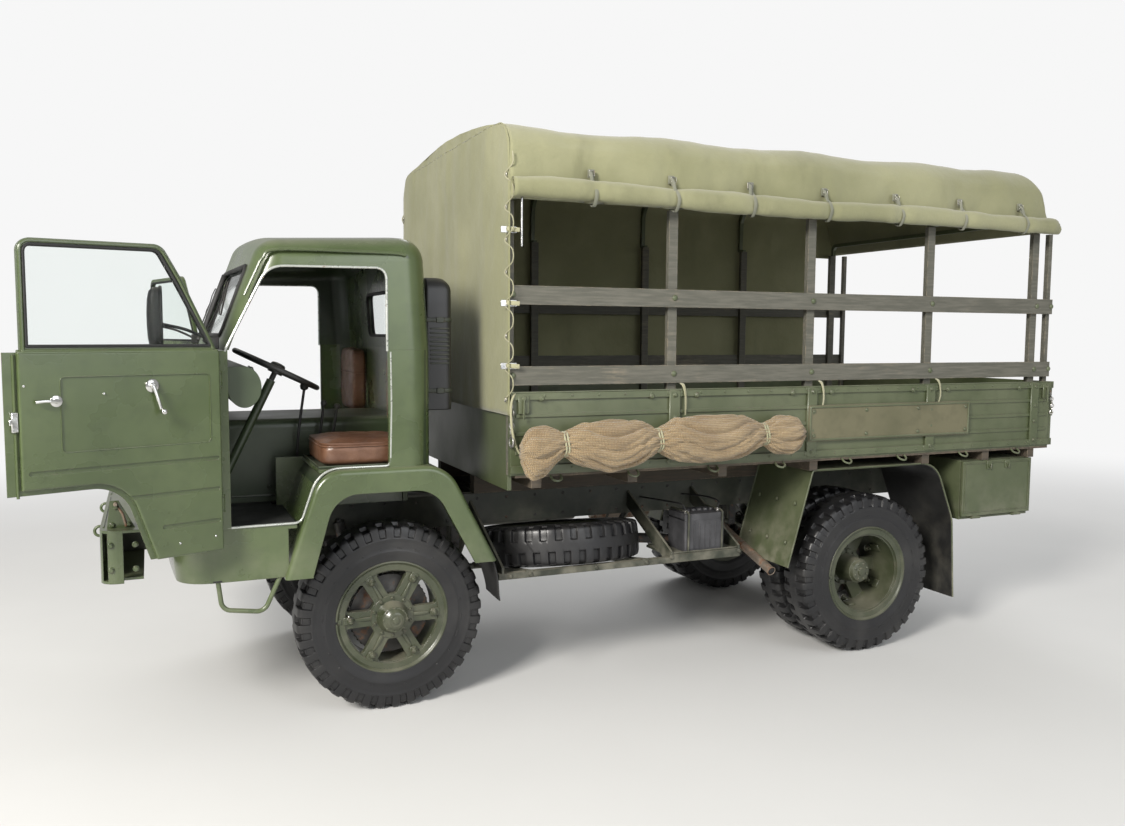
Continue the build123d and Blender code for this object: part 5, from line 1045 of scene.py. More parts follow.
def front_wheel_trim(hand, side):
    """Clamps, nuts, hub, brake drum and valve of a front wheel."""
    body, place = f"front_{hand}_wheel", wheel_at(0, side * FRONT_Y, side)
    piece = Piece()
    lock_ring(piece, RIM_LIP_Y)
    for k in range(SPOKES):
        turn = Matrix.Rotation(-math.tau * k / SPOKES, 4, "Y")
        # clamp, stud and nut that hold the rim on each spoke
        piece.box((0.205, 0.084, -0.021), (0.253, 0.095, 0.021), 0.005, turn)
        at = turn @ Vector((0.219, 0.095, 0))
        piece.bolt(at, HUB_AXIS, *RIM_NUT)
        piece.rod(at, at + Vector((0, 0.027, 0)), 0.0085, 10)
        # cast rib up the middle of each spoke
        rib = [turn @ Vector(p) for p in ((0.112, 0.087, 0), (0.150, 0.0885, 0), (0.196, 0.0845, 0))]
        piece.tube(rib, (0.011, 0.010, 0.006), 8, flat=0.7, steady=turn @ Vector(UP))
    piece.bolts_round(10, 0.098, 0.092, (0.0075, 0.006, 0.010), offset=0.5)
    piece.bolts_round(8, 0.060, 0.153, (0.007, 0.006))
    hub = ((0.150, 0.064), (0.156, 0.0635), (0.158, 0.046), (0.170, 0.044),
           (0.1745, 0.038), (0.1750, 0.018), (0.179, 0.017), (0.181, 0.012))
    piece.turned(hub, (0, 0, 0), HUB_AXIS, 40)
    piece.ring((0, 0.1735, 0), HUB_AXIS, 0.030, 0.0022, 36, 6)
    piece.build(f"front_wheel_trim_{hand}", "wheel_paint", body, place=place)
    drum = Piece()
    shell = ((-0.010, 0.205), (0.014, 0.209), (0.018, 0.206), (0.020, 0.150), (0.032, 0.135),
             (0.034, 0.104))
    drum.turned(shell, (0, 0, 0), HUB_AXIS, 64)
    for k in range(DRUM_FINS):
        turn = Matrix.Rotation(-math.tau * k / DRUM_FINS, 4, "Y")
        drum.box((0.206, -0.008, -0.0025), (0.2125, 0.013, 0.0025), 0.001, turn)
    drum.build(f"front_drum_{hand}", "casting", body, place=place)
    valve = Piece()
    valve.tube([(0.234, 0.060, 0.030), (0.236, 0.088, 0.030), (0.230, 0.104, 0.030)], 0.0038, 8)
    valve.rod((0.230, 0.102, 0.030), (0.228, 0.116, 0.030), 0.0052, 10)
    valve.build(f"front_valve_{hand}", "bright", body, place=place)


def rear_wheel_trim(hand, side):
    """Nuts, clamps, hub and brake drum of a pair of rear wheels."""
    mid, out = (REAR_OUT_Y + REAR_IN_Y) / 2, (REAR_OUT_Y - REAR_IN_Y) / 2
    body, place = f"rear_{hand}_wheels", wheel_at(-WHEELBASE, side * mid, side)
    piece = Piece()
    lock_ring(piece, out + RIM_LIP_Y)
    # nuts and clamps between the hub's flange and the deep rim
    for k in range(SPOKES):
        turn = Matrix.Rotation(-math.tau * (k + 0.5) / SPOKES, 4, "Y")
        at = turn @ Vector((0.205, 0.017, 0))
        piece.bolt(at, HUB_AXIS, *RIM_NUT_REAR)
        piece.rod(at, at + Vector((0, 0.034, 0)), 0.0085, 10)
        piece.box((0.222, 0.030, -0.025), (0.236, 0.110, 0.025), 0.004, turn)
    piece.bolts_round(12, 0.100, 0.038, (0.008, 0.007, 0.011))
    hub = ((0.148, 0.0745), (0.152, 0.076), (0.156, 0.075), (0.158, 0.068), (0.174, 0.063), (0.1775, 0.058))
    piece.turned(hub, (0, 0, 0), HUB_AXIS, 40)
    piece.bolts_round(8, 0.049, 0.176, (0.0075, 0.006), offset=0.5)
    piece.turned(((0.176, 0.026), (0.188, 0.024), (0.190, 0.010)), (0, 0, 0), HUB_AXIS, 24)
    piece.build(f"rear_wheel_trim_{hand}", "wheel_paint", body, place=place)
    drum = Piece()
    shell = ((-0.184, 0.190), (-0.060, 0.196), (-0.050, 0.188), (-0.048, 0.130))
    drum.turned(shell, (0, 0, 0), HUB_AXIS, 64)
    drum.build(f"rear_drum_{hand}", "casting", body, place=place)


for side, hand in HANDS:
    front_wheel_trim(hand, side)
    rear_wheel_trim(hand, side)
spare_trim = Piece()
lock_ring(spare_trim, RIM_LIP_Y)
spare_trim.build("spare_wheel_trim", "wheel_paint", place=SPARE)


# Second finishes on the plain pieces
def tint(node_name, material, test):
    """Another finish for the faces of a plain piece that pass test(centre, normal)."""
    mesh = frame["nodes"][node_name].data
    mesh.materials.append(M[material])
    count = len(mesh.polygons)
    centres, normals, slots = np.empty(count * 3), np.empty(count * 3), np.empty(count, np.int32)
    mesh.polygons.foreach_get("center", centres)
    mesh.polygons.foreach_get("normal", normals)
    mesh.polygons.foreach_get("material_index", slots)
    chosen = test((centres.reshape(-1, 3) - np.array(SHIFT)).T, normals.reshape(-1, 3).T)
    slots[chosen] = len(mesh.materials) - 1
    mesh.polygons.foreach_set("material_index", slots)


def in_box(c, x=(-99, 99), y=(-99, 99), z=(-99, 99)):
    """Whether points lie inside a box."""
    return np.all([(axis > low) & (axis < high) for axis, (low, high) in zip(c, (x, y, z))], axis=0)


CAB_INSIDE = (-0.985, 0.985)
tint("lamps", "red_lens", lambda c, n: c[0] < 0)
tint("mirrors", "black_paint", lambda c, n: n[0] > -0.5)
tint("bed_sides", "board", lambda c, n: in_box(c, (-3.64, -2.38), (1.0575, 99), (1.33, 1.55)))
# painted shade: the floor and the walls inside the cab take the darker copy of the olive paint
tint("cab_lower", "paint_inside",
     lambda c, n: in_box(c, (-0.14, 0.92), CAB_INSIDE, (1.049, 1.868)) & ((n[2] > 0.5) | (c[2] > 1.31)))
tint("cab_lower", "mat",
     lambda c, n: in_box(c, y=CAB_INSIDE) & (np.abs(c[2] - 1.050) < 0.003) & (n[2] > 0.9))
# painted shade: the downward faces of the cab's top and its inside faces take the darker copy of the olive
# paint
tint("cab_upper", "paint_inside",
     lambda c, n: (n[2] < -0.35) | (in_box(c, (-0.12, 0.10), (-0.991, 0.991)) & (n[0] > 0.5))
     | (in_box(c, y=(-0.992, 0.992), z=(1.87, 99)) & (n[1] * c[1] < -0.5 * np.abs(c[1]))))
# painted shade: the engine's front behind the grille is made near-black
tint("engine_and_driveline", "dark", lambda c, n: c[0] > 0.9)
tint("rear_mudguards", "black_paint", lambda c, n: c[0] < -WHEELBASE - 0.10)

# Doors
DOOR_PIN = (0.836, 1.062)
DOOR_OPEN = {1: 159.0, -1: 110.0}
PAN_IN, SKIN_OUT = -0.040, -0.010
CRANK_LINE = ((-0.311, 0.015, 1.726), (-0.302, 0.022, 1.694), (-0.288, 0.026, 1.640),
              (-0.281, 0.026, 1.617))
LEVER_LINE = ((-0.686, 0.014, 1.677), (-0.698, 0.020, 1.678), (-0.730, 0.021, 1.680),
              (-0.764, 0.016, 1.677))
SCREW = ((0, 0.0050), (0.0015, 0.0048), (0.0025, 0.0028))
# turned fittings on the door's inside: profile, place, sides
DOOR_TURNED = (
    (((0, 0.027), (0.003, 0.0285), (0.006, 0.024), (0.008, 0.013), (0.016, 0.0115), (0.018, 0.009)),
     (-0.311, 0, 1.726), 28),
    (((0, 0.008), (0.003, 0.0125), (0.018, 0.0135), (0.026, 0.011), (0.030, 0.005)),
     (-0.281, -0.026, 1.617), 20),
    (((0, 0.022), (0.003, 0.023), (0.005, 0.018), (0.006, 0.010), (0.014, 0.009), (0.015, 0.007)),
     (-0.686, 0, 1.677), 24),
    *((SCREW, (-s, 0, z), 10) for s, z in ((0.05, 1.045), (0.21, 1.035), (0.505, 1.700), (0.80, 1.74))),
)


def door_place(side):
    """The open door's place: its own drawing lies behind the hinge pin, outside to the left."""
    pin = Matrix.Translation((DOOR_PIN[0], side * DOOR_PIN[1], 0))
    swing = Matrix.Rotation(math.radians(-side * DOOR_OPEN[side]), 4, "Z")
    return pin @ swing @ Matrix.Scale(side, 4, LEFT)


def rounded(points, radii, steps=6):
    """A closed line of corners, each rounded by its own radius, in two dimensions."""
    out = []
    n = len(points)
    for k in range(n):
        p = np.array(points[k], float)
        a = np.array(points[k - 1], float) - p
        b = np.array(points[(k + 1) % n], float) - p
        la, lb = np.linalg.norm(a), np.linalg.norm(b)
        a, b = a / la, b / lb
        r = radii[k]
        if r <= 0:
            out.append(tuple(p))
            continue
        half = math.acos(float(np.clip(a @ b, -1, 1))) / 2
        back = min(r / math.tan(half), 0.48 * la, 0.48 * lb)
        p0, p2 = p + a * back, p + b * back
        for t in np.linspace(0, 1, steps):
            out.append(tuple((1 - t) ** 2 * p0 + 2 * t * (1 - t) * p + t * t * p2))
    return out


def round_box(a0, b0, a1, b1, radius, steps=6):
    """A rectangle with rounded corners, from its first corner round to its last."""
    return rounded([(a0, b0), (a1, b0), (a1, b1), (a0, b1)], (radius,) * 4, steps)


def door_trim(side, hand):
    """Seals, rolled edges, crank, lever, handle and hinges of one door."""
    body = f"{hand}_door"
    place = door_place(side)
    glass = rounded([(0.050, 1.894), (0.192, 2.160), (0.268, 2.294), (0.782, 2.287), (0.782, 1.894)],
                    (0.004, 0.110, 0.042, 0.032, 0.004))
    seal = Piece()
    for y in (SKIN_OUT + 0.0005, SKIN_OUT - 0.0205):
        seal.loop(glass, 0.0065, lambda s, z: (-s, y, z))
    seal.build(f"door_seal_{hand}", "seal", body, place=place)
    rim = Piece()
    frame_line = rounded([(0.036, 1.876), (0.178, 2.166), (0.259, 2.308), (0.795, 2.301), (0.795, 1.876)],
                         (0.004, 0.115, 0.052, 0.042, 0.004))
    rim.loop(frame_line, 0.0075, lambda s, z: (-s, SKIN_OUT - 0.0200, z))
    # rolled top of the door, its lip and the hinge strip
    top = [(x, PAN_IN + 0.0075, z) for x, z in ((-0.020, 1.868), (-0.40, 1.869), (-0.815, 1.868))]
    rim.tube(top, 0.0085, 12, steady=UP)
    rim.box((-0.815, SKIN_OUT - 0.002, 1.862), (-0.030, SKIN_OUT + 0.0035, 1.880), 0.002)
    rim.tube([(-0.829, PAN_IN + 0.022, 1.30), (-0.829, PAN_IN + 0.022, 1.862)], 0.006, 8)
    # pressed border of the panel
    rim.loop(round_box(0.061, 1.470, 0.670, 1.772, 0.02), 0.0028, lambda s, z: (-s, PAN_IN + 0.0005, z), 6)
    rim.build(f"door_rim_{hand}", "paint", body, place=place)
    fittings = Piece()
    # window crank and latch lever with their turned ends, and screws
    for profile, (x, out, z), sides in DOOR_TURNED:
        fittings.turned(profile, (x, PAN_IN + out, z), (0, -1, 0), sides)
    crank = [(x, PAN_IN - inward, z) for x, inward, z in CRANK_LINE]
    fittings.tube(crank, (0.0085, 0.0075, 0.0062, 0.0065), 10, flat=0.6, steady=AHEAD)
    lever = [(x, PAN_IN - inward, z) for x, inward, z in LEVER_LINE]
    fittings.tube(lever, (0.0075, 0.0065, 0.0060, 0.0072), 10, flat=0.7, steady=UP)
    # latch on the free edge, striker tongue
    fittings.box((-0.846, PAN_IN + 0.006, 1.560), (-0.820, PAN_IN + 0.022, 1.640), 0.003)
    fittings.box((-0.853, PAN_IN + 0.009, 1.588), (-0.842, PAN_IN + 0.018, 1.612), 0.002)
    fittings.build(f"door_fittings_{hand}", "chrome", body, place=place)
    outside = Piece()
    boss = ((0, 0.030), (0.003, 0.031), (0.008, 0.026), (0.010, 0.014), (0.026, 0.011))
    outside.turned(boss, (-0.760, SKIN_OUT, 1.640), LEFT, 24)
    grip = [(x, SKIN_OUT + out, 1.640)
            for x, out in ((-0.760, 0.024), (-0.735, 0.036), (-0.650, 0.037), (-0.630, 0.030))]
    outside.tube(grip, (0.010, 0.0085, 0.0075, 0.008), 10, flat=0.7, steady=UP)
    for z in (1.180, 1.740):
        outside.box((-0.110, SKIN_OUT - 0.001, z - 0.022), (-0.012, SKIN_OUT + 0.0045, z + 0.022), 0.002)
        for s in (0.038, 0.090):
            outside.bolt((-s, SKIN_OUT + 0.0045, z), LEFT, 0.008, 0.005, 0.010)
    outside.build(f"door_handle_{hand}", "paint", body, place=place)


for side, hand in HANDS:
    door_trim(side, hand)

# Windscreen, wipers, roof gutter
CAB_HALF, BELT, PILLAR_X = 1.015, 1.870, 0.830
ROOF_Z, REAR_LEAN = 2.478, 0.036
GUTTER_LINE = ((0.718, 2.118), (0.668, 2.226), (0.634, 2.290), (0.565, 2.331), (0.200, 2.335),
               (0.020, 2.333), (-0.030, 2.325))


def pane_place(side):
    """The plane of one half of the windscreen, from its lower corner at the middle post."""
    across = Vector((-0.050, side * CAB_HALF, 0))
    up = Vector((-0.175, 0, 0.460))
    normal = (across.cross(up) if side > 0 else up.cross(across)).normalized()
    x_dir = across.normalized() * side
    y_dir = normal.cross(x_dir)
    base = Vector((PILLAR_X + 0.050, 0, BELT))
    turn = Matrix((x_dir, y_dir, normal)).transposed().to_4x4()
    return Matrix.Translation(base) @ turn


seal = Piece()
wiper = Piece()
for side in SIDES:
    place = pane_place(side)
    line = round_box(side * 0.075, 0.070, side * 0.875, 0.420, 0.05, 8)
    for depth in (0.002, -0.027):
        seal.loop(line, 0.011, lambda x, y: place @ Vector((x, y, depth)))
    pivot, tip = Vector((side * 0.34, 0.040, 0.012)), Vector((side * 0.56, 0.262, 0.020))
    up = Vector(UP)
    wiper.turned(((0, 0.014), (0.010, 0.014), (0.018, 0.009), (0.020, 0.005)),
                 place @ Vector((pivot.x, pivot.y, 0.0)), place.to_3x3() @ up, 16)
    arm = (pivot, pivot.lerp(tip, 0.3) + up * 0.006, tip)
    wiper.tube([place @ p for p in arm], (0.005, 0.004, 0.003), 8)
    blade = Vector((-side * 0.12, 0.10, 0)) * 0.9
    for radius, line in ((0.0032, ((-1, 0), (-0.5, 0.004), (0, 0), (0.5, 0.004), (1, 0))),
                         (0.0045, ((-1, -0.008), (1, -0.008)))):
        wiper.tube([place @ (tip + blade * share + up * lift) for share, lift in line], radius, 6)
lean = REAR_LEAN / (ROOF_Z - BELT)
for offset_x in (-0.020, 0.0085):
    seal.loop(round_box(-0.38, 1.935, 0.38, 2.185, 0.055, 8), 0.009,
              lambda y, z: (-0.158 + offset_x + lean * (z - BELT), y, z))
seal.build("window_seals", "seal")
wiper.build("wipers", "black_paint")

gutter = Piece()
trim = Piece()
# trim round the door opening: above the belt, down the rear post, then the wing and the sill;
# line, how far it lies in from the cab's side, radius
OPENING = (
    (rounded([(0.808, 1.865), (0.612, 2.258), (0.064, 2.264), (0.064, 1.865)], (0, 0.120, 0.058, 0), 10),
     0.004, 0.0065),
    ([(0.048, 1.862), (0.046, 1.60), (0.052, 1.345)], 0.0045, 0.0060),
    (rounded([(0.052, 1.350), (0.056, 1.3065), (0.3955, 1.3065), (0.4815, 1.0565), (0.812, 1.0545)],
             (0, 0.022, 0.150, 0.045, 0), 8), 0.006, 0.0062),
)
for side in SIDES:
    path = [(x, side * (CAB_HALF + 0.0015), z) for x, z in GUTTER_LINE]
    gutter.tube(spline(path, 6), 0.0075, 8, flat=1.5, steady=UP)
    for line, inward, radius in OPENING:
        trim.tube([(x, side * (CAB_HALF - inward), z) for x, z in line], radius, 8)
gutter.build("roof_gutter", "paint")
trim.build("door_opening_trim", "edge_trim")

# Lamps, mirrors, bumper
HEADLAMP_X, HEADLAMP_Y, HEADLAMP_Z = 1.062, 0.690, 1.290
LAMP_RIM = ((-0.006, 0.103), (0.010, 0.110), (0.018, 0.108), (0.0205, 0.100), (0.017, 0.093))
LAMP_BOWL = ((0.003, 0.092), (-0.020, 0.060), (-0.036, 0.018), (-0.038, 0.002))
MIRROR_MID_Z = 2.008
# how the mirror's back shell narrows: scale, x
MIRROR_BACK = ((1.0, 1.094), (0.97, 1.105), (0.86, 1.117), (0.6, 1.124), (0.2, 1.127))
MIRROR_ARMS = (
    (0.0085, ((0.930, 0.990, 1.640), (1.020, 1.006, 1.690), (1.086, 1.008, 1.760), (1.094, 1.003, 1.868),
              (1.100, 1.001, 1.960))),
    (0.0070, ((0.845, 0.985, 1.905), (0.960, 0.998, 1.960), (1.060, 1.002, 1.985), (1.112, 1.001, 2.000))),
)
lamp_rims = Piece()
shell = Piece()
for side in SIDES:
    at = Vector((HEADLAMP_X, side * HEADLAMP_Y, HEADLAMP_Z))
    lamp_rims.turned(LAMP_RIM, at, AHEAD, 48, cap=False)
    lamp_rims.turned(LAMP_BOWL, at, AHEAD, 40, cap=False)
    for k in range(3):
        a = math.radians(90 + 120 * k)
        place = (HEADLAMP_X + 0.016, side * HEADLAMP_Y + 0.101 * math.cos(a),
                 HEADLAMP_Z + 0.101 * math.sin(a))
        lamp_rims.bolt(place, AHEAD, 0.004, 0.003)
    # side lamp above each headlamp
    at = (1.045, side * 0.700, 1.465)
    shell.turned(((-0.02, 0.040), (0.018, 0.040), (0.024, 0.036)), at, AHEAD, 28)
    cap = ((0.020, 0.0415), (0.028, 0.041), (0.030, 0.036), (0.036, 0.026), (0.040, 0.010))
    lamp_rims.turned(cap, at, AHEAD, 28)
    # mirror: rim, dark back shell, arms and their feet
    mid_y = side * 1.001
    line = round_box(mid_y - 0.075, 1.868, mid_y + 0.075, 2.148, 0.06, 10)
    shell.loop(line, 0.0075, lambda y, z: (1.069, y, z))
    rows = [[(x, mid_y + (y - mid_y) * scale, MIRROR_MID_Z + (z - MIRROR_MID_Z) * scale) for y, z in line]
            for scale, x in MIRROR_BACK]
    shell.grid(rows, wrap_v=True)
    shell.faces.append(tuple(range(shell.count - len(line), shell.count)))
    for radius, arm in MIRROR_ARMS:
        shell.tube(spline([(x, side * y, z) for x, y, z in arm], 6), radius, 10)
    for x, y, z in ((0.930, side * 0.992, 1.640), (0.850, side * 0.984, 1.905)):
        shell.box((x - 0.022, y - 0.014, z - 0.030), (x + 0.022, y + 0.012, z + 0.030), 0.004)
lamp_rims.build("lamp_rims", "bright")
shell.build("mirror_shells", "black_paint")

bumper = Piece()
rusty = Piece()
for side in SIDES:
    y = side * 0.930
    for x, z in ((1.225, 1.090), (1.292, 1.090), (1.276, 1.170)):
        for face in (-1, 1):
            bumper.bolt((x, y + face * 0.0045, z), (0, face, 0), 0.009, 0.007, 0.013)
    rusty.rod((1.277, y - 0.030, 1.186), (1.277, y + 0.030, 1.186), 0.0085, 12)
    link = [(1.277, y, 1.186), (1.250, y + side * 0.004, 1.140), (1.236, y + side * 0.006, 1.082)]
    rusty.tube(link, 0.006, 8)
    for x in (1.20, 1.30):
        for z in (0.90, 1.01):
            bumper.bolt((x, side * 1.0005, z), (0, side, 0), 0.010, 0.007, 0.014)
    for z in (0.915, 1.000):
        for y in (0.30, 0.42):
            bumper.bolt((1.3452, side * y, z), AHEAD, 0.011, 0.008, 0.016)
    # towing eye on the front face
    bumper.box((1.344, side * 0.345 - 0.032, 0.918), (1.3515, side * 0.345 + 0.032, 1.000), 0.003)
    bumper.ring((1.372, side * 0.345, 0.955), LEFT, 0.024, 0.0075, 28, 10)
    # bead along the top edge
    bumper.tube([(1.330, side * 0.05, 1.0755), (1.330, side * 0.90, 1.0755)], 0.004, 6)
bumper.build("bumper_fittings", "paint")
rusty.build("bumper_rods", "rusty")

# the nose at four heights: z, x at the middle, half width, corner radius
NOSE = np.array(((0.800, 1.065, 1.002, 0.150), (1.060, 1.080, 1.008, 0.150), (1.480, 1.040, 1.012, 0.130),
                 (1.870, 0.945, 1.015, 0.080)))
NOSE_BULGE = 0.030


def nose_x(y, z):
    """Where the nose's skin lies at a height and a distance from the middle."""
    front, half, corner = (np.interp(z, NOSE[:, 0], NOSE[:, column]) for column in (1, 2, 3))
    return front - NOSE_BULGE * (y / (half - corner)) ** 2


# grille: surround, bars' rolled edges, bolts and a blank plate
grille = Piece()
grille.loop(round_box(-0.430, 1.150, 0.430, 1.552, 0.03, 6), 0.0085,
            lambda y, z: (nose_x(y, z) + 0.001, y, z))
for k in range(1, 9):
    z = 1.170 + 0.040 * k
    grille.tube([(nose_x(y, z) - 0.003, y, z) for y in np.linspace(-0.40, 0.40, 17)], 0.0075, 8, flat=0.8)
for y in (-0.20, 0.0, 0.20):
    grille.tube([(nose_x(y, z) - 0.014, y, z) for z in np.linspace(1.165, 1.535, 9)], 0.006, 8)
for y in (-0.36, -0.12, 0.12, 0.36):
    for z in (1.143, 1.560):
        grille.bolt((nose_x(y, z), y, z), AHEAD, 0.0065, 0.004, 0.009)
grille.box((nose_x(0, 1.01) - 0.001, -0.26, 0.955), (nose_x(0, 1.01) + 0.006, 0.26, 1.065), 0.003)
grille.build("grille_trim", "paint")

# Inside the cab
DIAL_X, DIAL_AXIS = 0.652, (-1, 0, 0.18)
KNOB_LINE = ((0, 0.009), (0.004, 0.009), (0.006, 0.005), (0.018, 0.004), (0.022, 0.006), (0.026, 0.003))
# shares of a knob's own radius: distance along, radius
LEVER_KNOB = ((0, 0.35), (0.3, 0.85), (1, 1), (1.7, 0.75), (1.95, 0.2))
BOOT_LINE = ((0, 0.046), (0.012, 0.042), (0.024, 0.020), (0.028, 0.010))
dials = Piece()
faces = Piece()
for y, z, r in ((0.48, 1.735, 0.047), (0.62, 1.735, 0.047), (0.74, 1.722, 0.026), (0.80, 1.722, 0.026)):
    rim = ((0, r), (0.006, r), (0.010, r - 0.004), (0.007, r - 0.008))
    dials.turned(rim, (DIAL_X, y, z), DIAL_AXIS, 32, cap=False)
    faces.turned(((0.001, r - 0.006), (0.004, r - 0.0075), (0.0045, 0.004)), (DIAL_X, y, z), DIAL_AXIS, 32)
dials.build("dial_rims", "bright")
for y in (0.30, 0.34, 0.38):
    faces.turned(KNOB_LINE, (0.655, y, 1.71), (-1, 0, 0.1), 14)
# levers beside the engine cover: foot, top, knob
for x, y, top, knob in ((0.42, 0.385, (0.37, 0.40, 1.66), 0.023), (0.30, 0.380, (0.27, 0.40, 1.57), 0.017),
                        (0.24, 0.380, (0.20, 0.40, 1.55), 0.017)):
    foot, top = Vector((x, y, 1.054)), Vector(top)
    faces.tube(spline([foot, foot.lerp(top, 0.5) + Vector((0.012, 0, 0.02)), top], 8), 0.0075, 10)
    knob_line = [(along * knob, r * knob) for along, r in LEVER_KNOB]
    faces.turned(knob_line, top - Vector((0, 0, 0.6 * knob)), UP, 20)
    faces.turned(BOOT_LINE, foot - Vector((0, 0, 0.003)), UP, 24)
# pedal rubbers
for y in (0.690, 0.460, 0.378):
    faces.box((0.819, y - 0.030, 1.162), (0.8302, y + 0.030, 1.223), 0.002)
    for k in range(5):
        faces.box((0.815, y - 0.027, 1.168 + 0.011 * k), (0.820, y + 0.027, 1.173 + 0.011 * k), 0.0008)
faces.build("dials_and_levers", "black_paint")
# engine cover: handle, screws, bead and plate
cover = Piece()
handle = ((0.3315, 1.30), (0.345, 1.31), (0.345, 1.39), (0.3315, 1.40))
cover.tube([(0.20, y, z) for y, z in handle], 0.0055, 8)
for side in SIDES:
    for x in (-0.05, 0.25, 0.55, 0.80):
        cover.bolt((x, side * 0.3305, 1.13), (0, side, 0), 0.0075, 0.005, 0.011)
cover.tube([(-0.12, 0.3318, 1.085), (0.88, 0.3318, 1.085)], 0.0055, 6)
cover.box((0.300, 0.3295, 1.365), (0.420, 0.3320, 1.425), 0.0012)
for side in SIDES:
    # rails under the seat cushions, and behind the seat backs
    corners = ((-0.085, 0.445), (0.385, 0.445), (0.385, 0.955), (-0.085, 0.955))
    cover.tube([(x, side * y, 1.306) for x, y in corners], 0.0065, 8, True)
    for y in (side * 0.47, side * 0.85):
        cover.tube([(-0.147, y, 1.47), (-0.150, y, 1.85)], 0.009, 8)
# painted shade: these fittings take the darker copy of the olive paint
cover.build("cab_inside_fittings", "paint_inside")
HORN_AT, COLUMN_AXIS = (0.530, 0.560, 1.765), Vector((-0.34864, 0, 0.715))
horn = Piece()
horn.turned(((0.021, 0.036), (0.026, 0.036), (0.031, 0.030), (0.034, 0.012)), HORN_AT, COLUMN_AXIS, 32)
horn.build("horn_button", "black_paint", "steering_wheel")


# Bed
BED_HALF = 1.057
STAKES = (-1.500, -2.420, -3.320, -4.210)
POSTS = (-0.565, -4.340)
SLATS = ((1.690, 1.787), (2.100, 2.196))
SIDE_LOW, SIDE_HIGH = 1.259, 1.636
GATE_X = -4.4062
POCKET_HALF = 0.034
# a rope hook: along the side, out from it, height
HOOK_LINE = ((-0.028, 0, 1.222), (-0.026, 0.022, 1.205), (0, 0.034, 1.196), (0.026, 0.022, 1.205),
             (0.028, 0, 1.222))
SLAT_BOLT = ((0, 0.0165), (0.0030, 0.0160), (0.0075, 0.0110), (0.0090, 0.004))
# half widths along the loose end of a webbing tie, in millimetres
TAIL_HALF_WIDTHS = (10, 11, 11, 12, 12, 11, 11, 10, 10, 9, 9, 9, 8, 8, 8, 8, 7, 7, 6, 6, 5)
LATCH_LEVER = ((0, 0.012, 1.630), (0.004, 0.020, 1.585), (0.006, 0.018, 1.520))
# one side's hanging chain
CHAIN_LINE = ((-4.352, 1.045, 1.615), (-4.372, 1.060, 1.56), (-4.378, 1.066, 1.500), (-4.374, 1.064, 1.44))
bolts = Piece()
straps = Piece()
for side in SIDES:
    face = side * (BED_HALF - 0.003)
    for x in STAKES + POSTS:
        for low, high in SLATS:
            bolts.turned(SLAT_BOLT, (x, face, low + 0.52 * (high - low)), (0, side, 0), 16)
        # stake pocket on the bed side
        if x in STAKES:
            straps.box((x - POCKET_HALF, side * (BED_HALF + 0.004), 1.244),
                       (x + POCKET_HALF, side * (BED_HALF + 0.0175), 1.652), 0.004)
            wide = POCKET_HALF + 0.014
            for z in (1.262, 1.640):
                straps.box((x - wide, side * (BED_HALF + 0.010), z - 0.010),
                           (x + wide, side * (BED_HALF + 0.0155), z + 0.010), 0.002)
            for z in (1.275, 1.40, 1.50, 1.625):
                bolts.bolt((x, side * (BED_HALF + 0.0175), z), (0, side, 0), 0.010, 0.007, 0.015)
    # rails: rivets, bolts and rope hooks
    for x in np.arange(-4.30, -0.60, 0.155):
        for z in (SIDE_HIGH, SIDE_LOW):
            bolts.rivet((x, side * (BED_HALF + 0.012), z), (0, side, 0))
    for x in (-0.72, -1.36, -1.64, -2.28, -2.56, -3.18, -3.46, -4.07):
        bolts.bolt((x, side * (BED_HALF + 0.0125), 1.622), (0, side, 0), 0.0115, 0.007, 0.016)
    for x in (-0.80, -1.25, -1.75, -2.20, -2.68, -3.10, -3.60, -4.05):
        hook = [(x + dx, side * (BED_HALF + 0.006) + side * out, z) for dx, out, z in HOOK_LINE]
        straps.tube(spline(hook, 5), 0.006, 8)
    for x in (-0.62, -4.31):
        # latch lever and its staple at each end of the side
        y = side * (BED_HALF + 0.012)
        straps.box((x - 0.030, y - side * 0.002, 1.545), (x + 0.030, y + side * 0.006, 1.640), 0.003)
        lever = [(x + dx, y + side * out, z) for dx, out, z in LATCH_LEVER]
        straps.tube(lever, (0.009, 0.0075, 0.0085), 10, flat=0.6)
        bolts.bolt((x, y + side * 0.006, 1.622), (0, side, 0), 0.010, 0.014, 0.014)
    # capping bead along the top of the side
    straps.tube([(x, side * (BED_HALF + 0.011), 1.6545) for x in (-4.352, -0.552)], 0.0045, 6)
# sign board on the left side: frame and screws
SIGN_X, SIGN_Z, SIGN_Y = (-3.630, -2.390), (1.335, 1.545), 1.0835
frame_line = round_box(SIGN_X[0] + 0.010, SIGN_Z[0] + 0.010, SIGN_X[1] - 0.010, SIGN_Z[1] - 0.010, 0.006, 4)
straps.loop(frame_line, 0.0065, lambda x, z: (x, SIGN_Y, z))
for x in (SIGN_X[0] + 0.035, SIGN_X[0] + 0.42, SIGN_X[1] - 0.42, SIGN_X[1] - 0.035):
    for z in (SIGN_Z[0] + 0.034, SIGN_Z[1] - 0.034):
        bolts.bolt((x, SIGN_Y, z), LEFT, 0.0080, 0.005, 0.012)
# tailgate: rivets and hinges
gate = Piece()
for y in np.arange(-0.96, 0.97, 0.16):
    for z in (1.256, 1.450, 1.634):
        gate.rivet((GATE_X, y, z), (-1, 0, 0))
for y in (-0.76, 0, 0.76):
    gate.box((-4.4085, y - 0.024, 1.245), (-4.4040, y + 0.024, 1.560), 0.002)
    for z in (1.29, 1.38, 1.50):
        gate.bolt((-4.4085, y, z), (-1, 0, 0), 0.009, 0.006, 0.013)
gate.build("tailgate_fittings", "bed_paint", "tailgate")
bolts.build("bed_bolts", "bed_paint")
straps.build("bed_ironwork", "bed_paint")


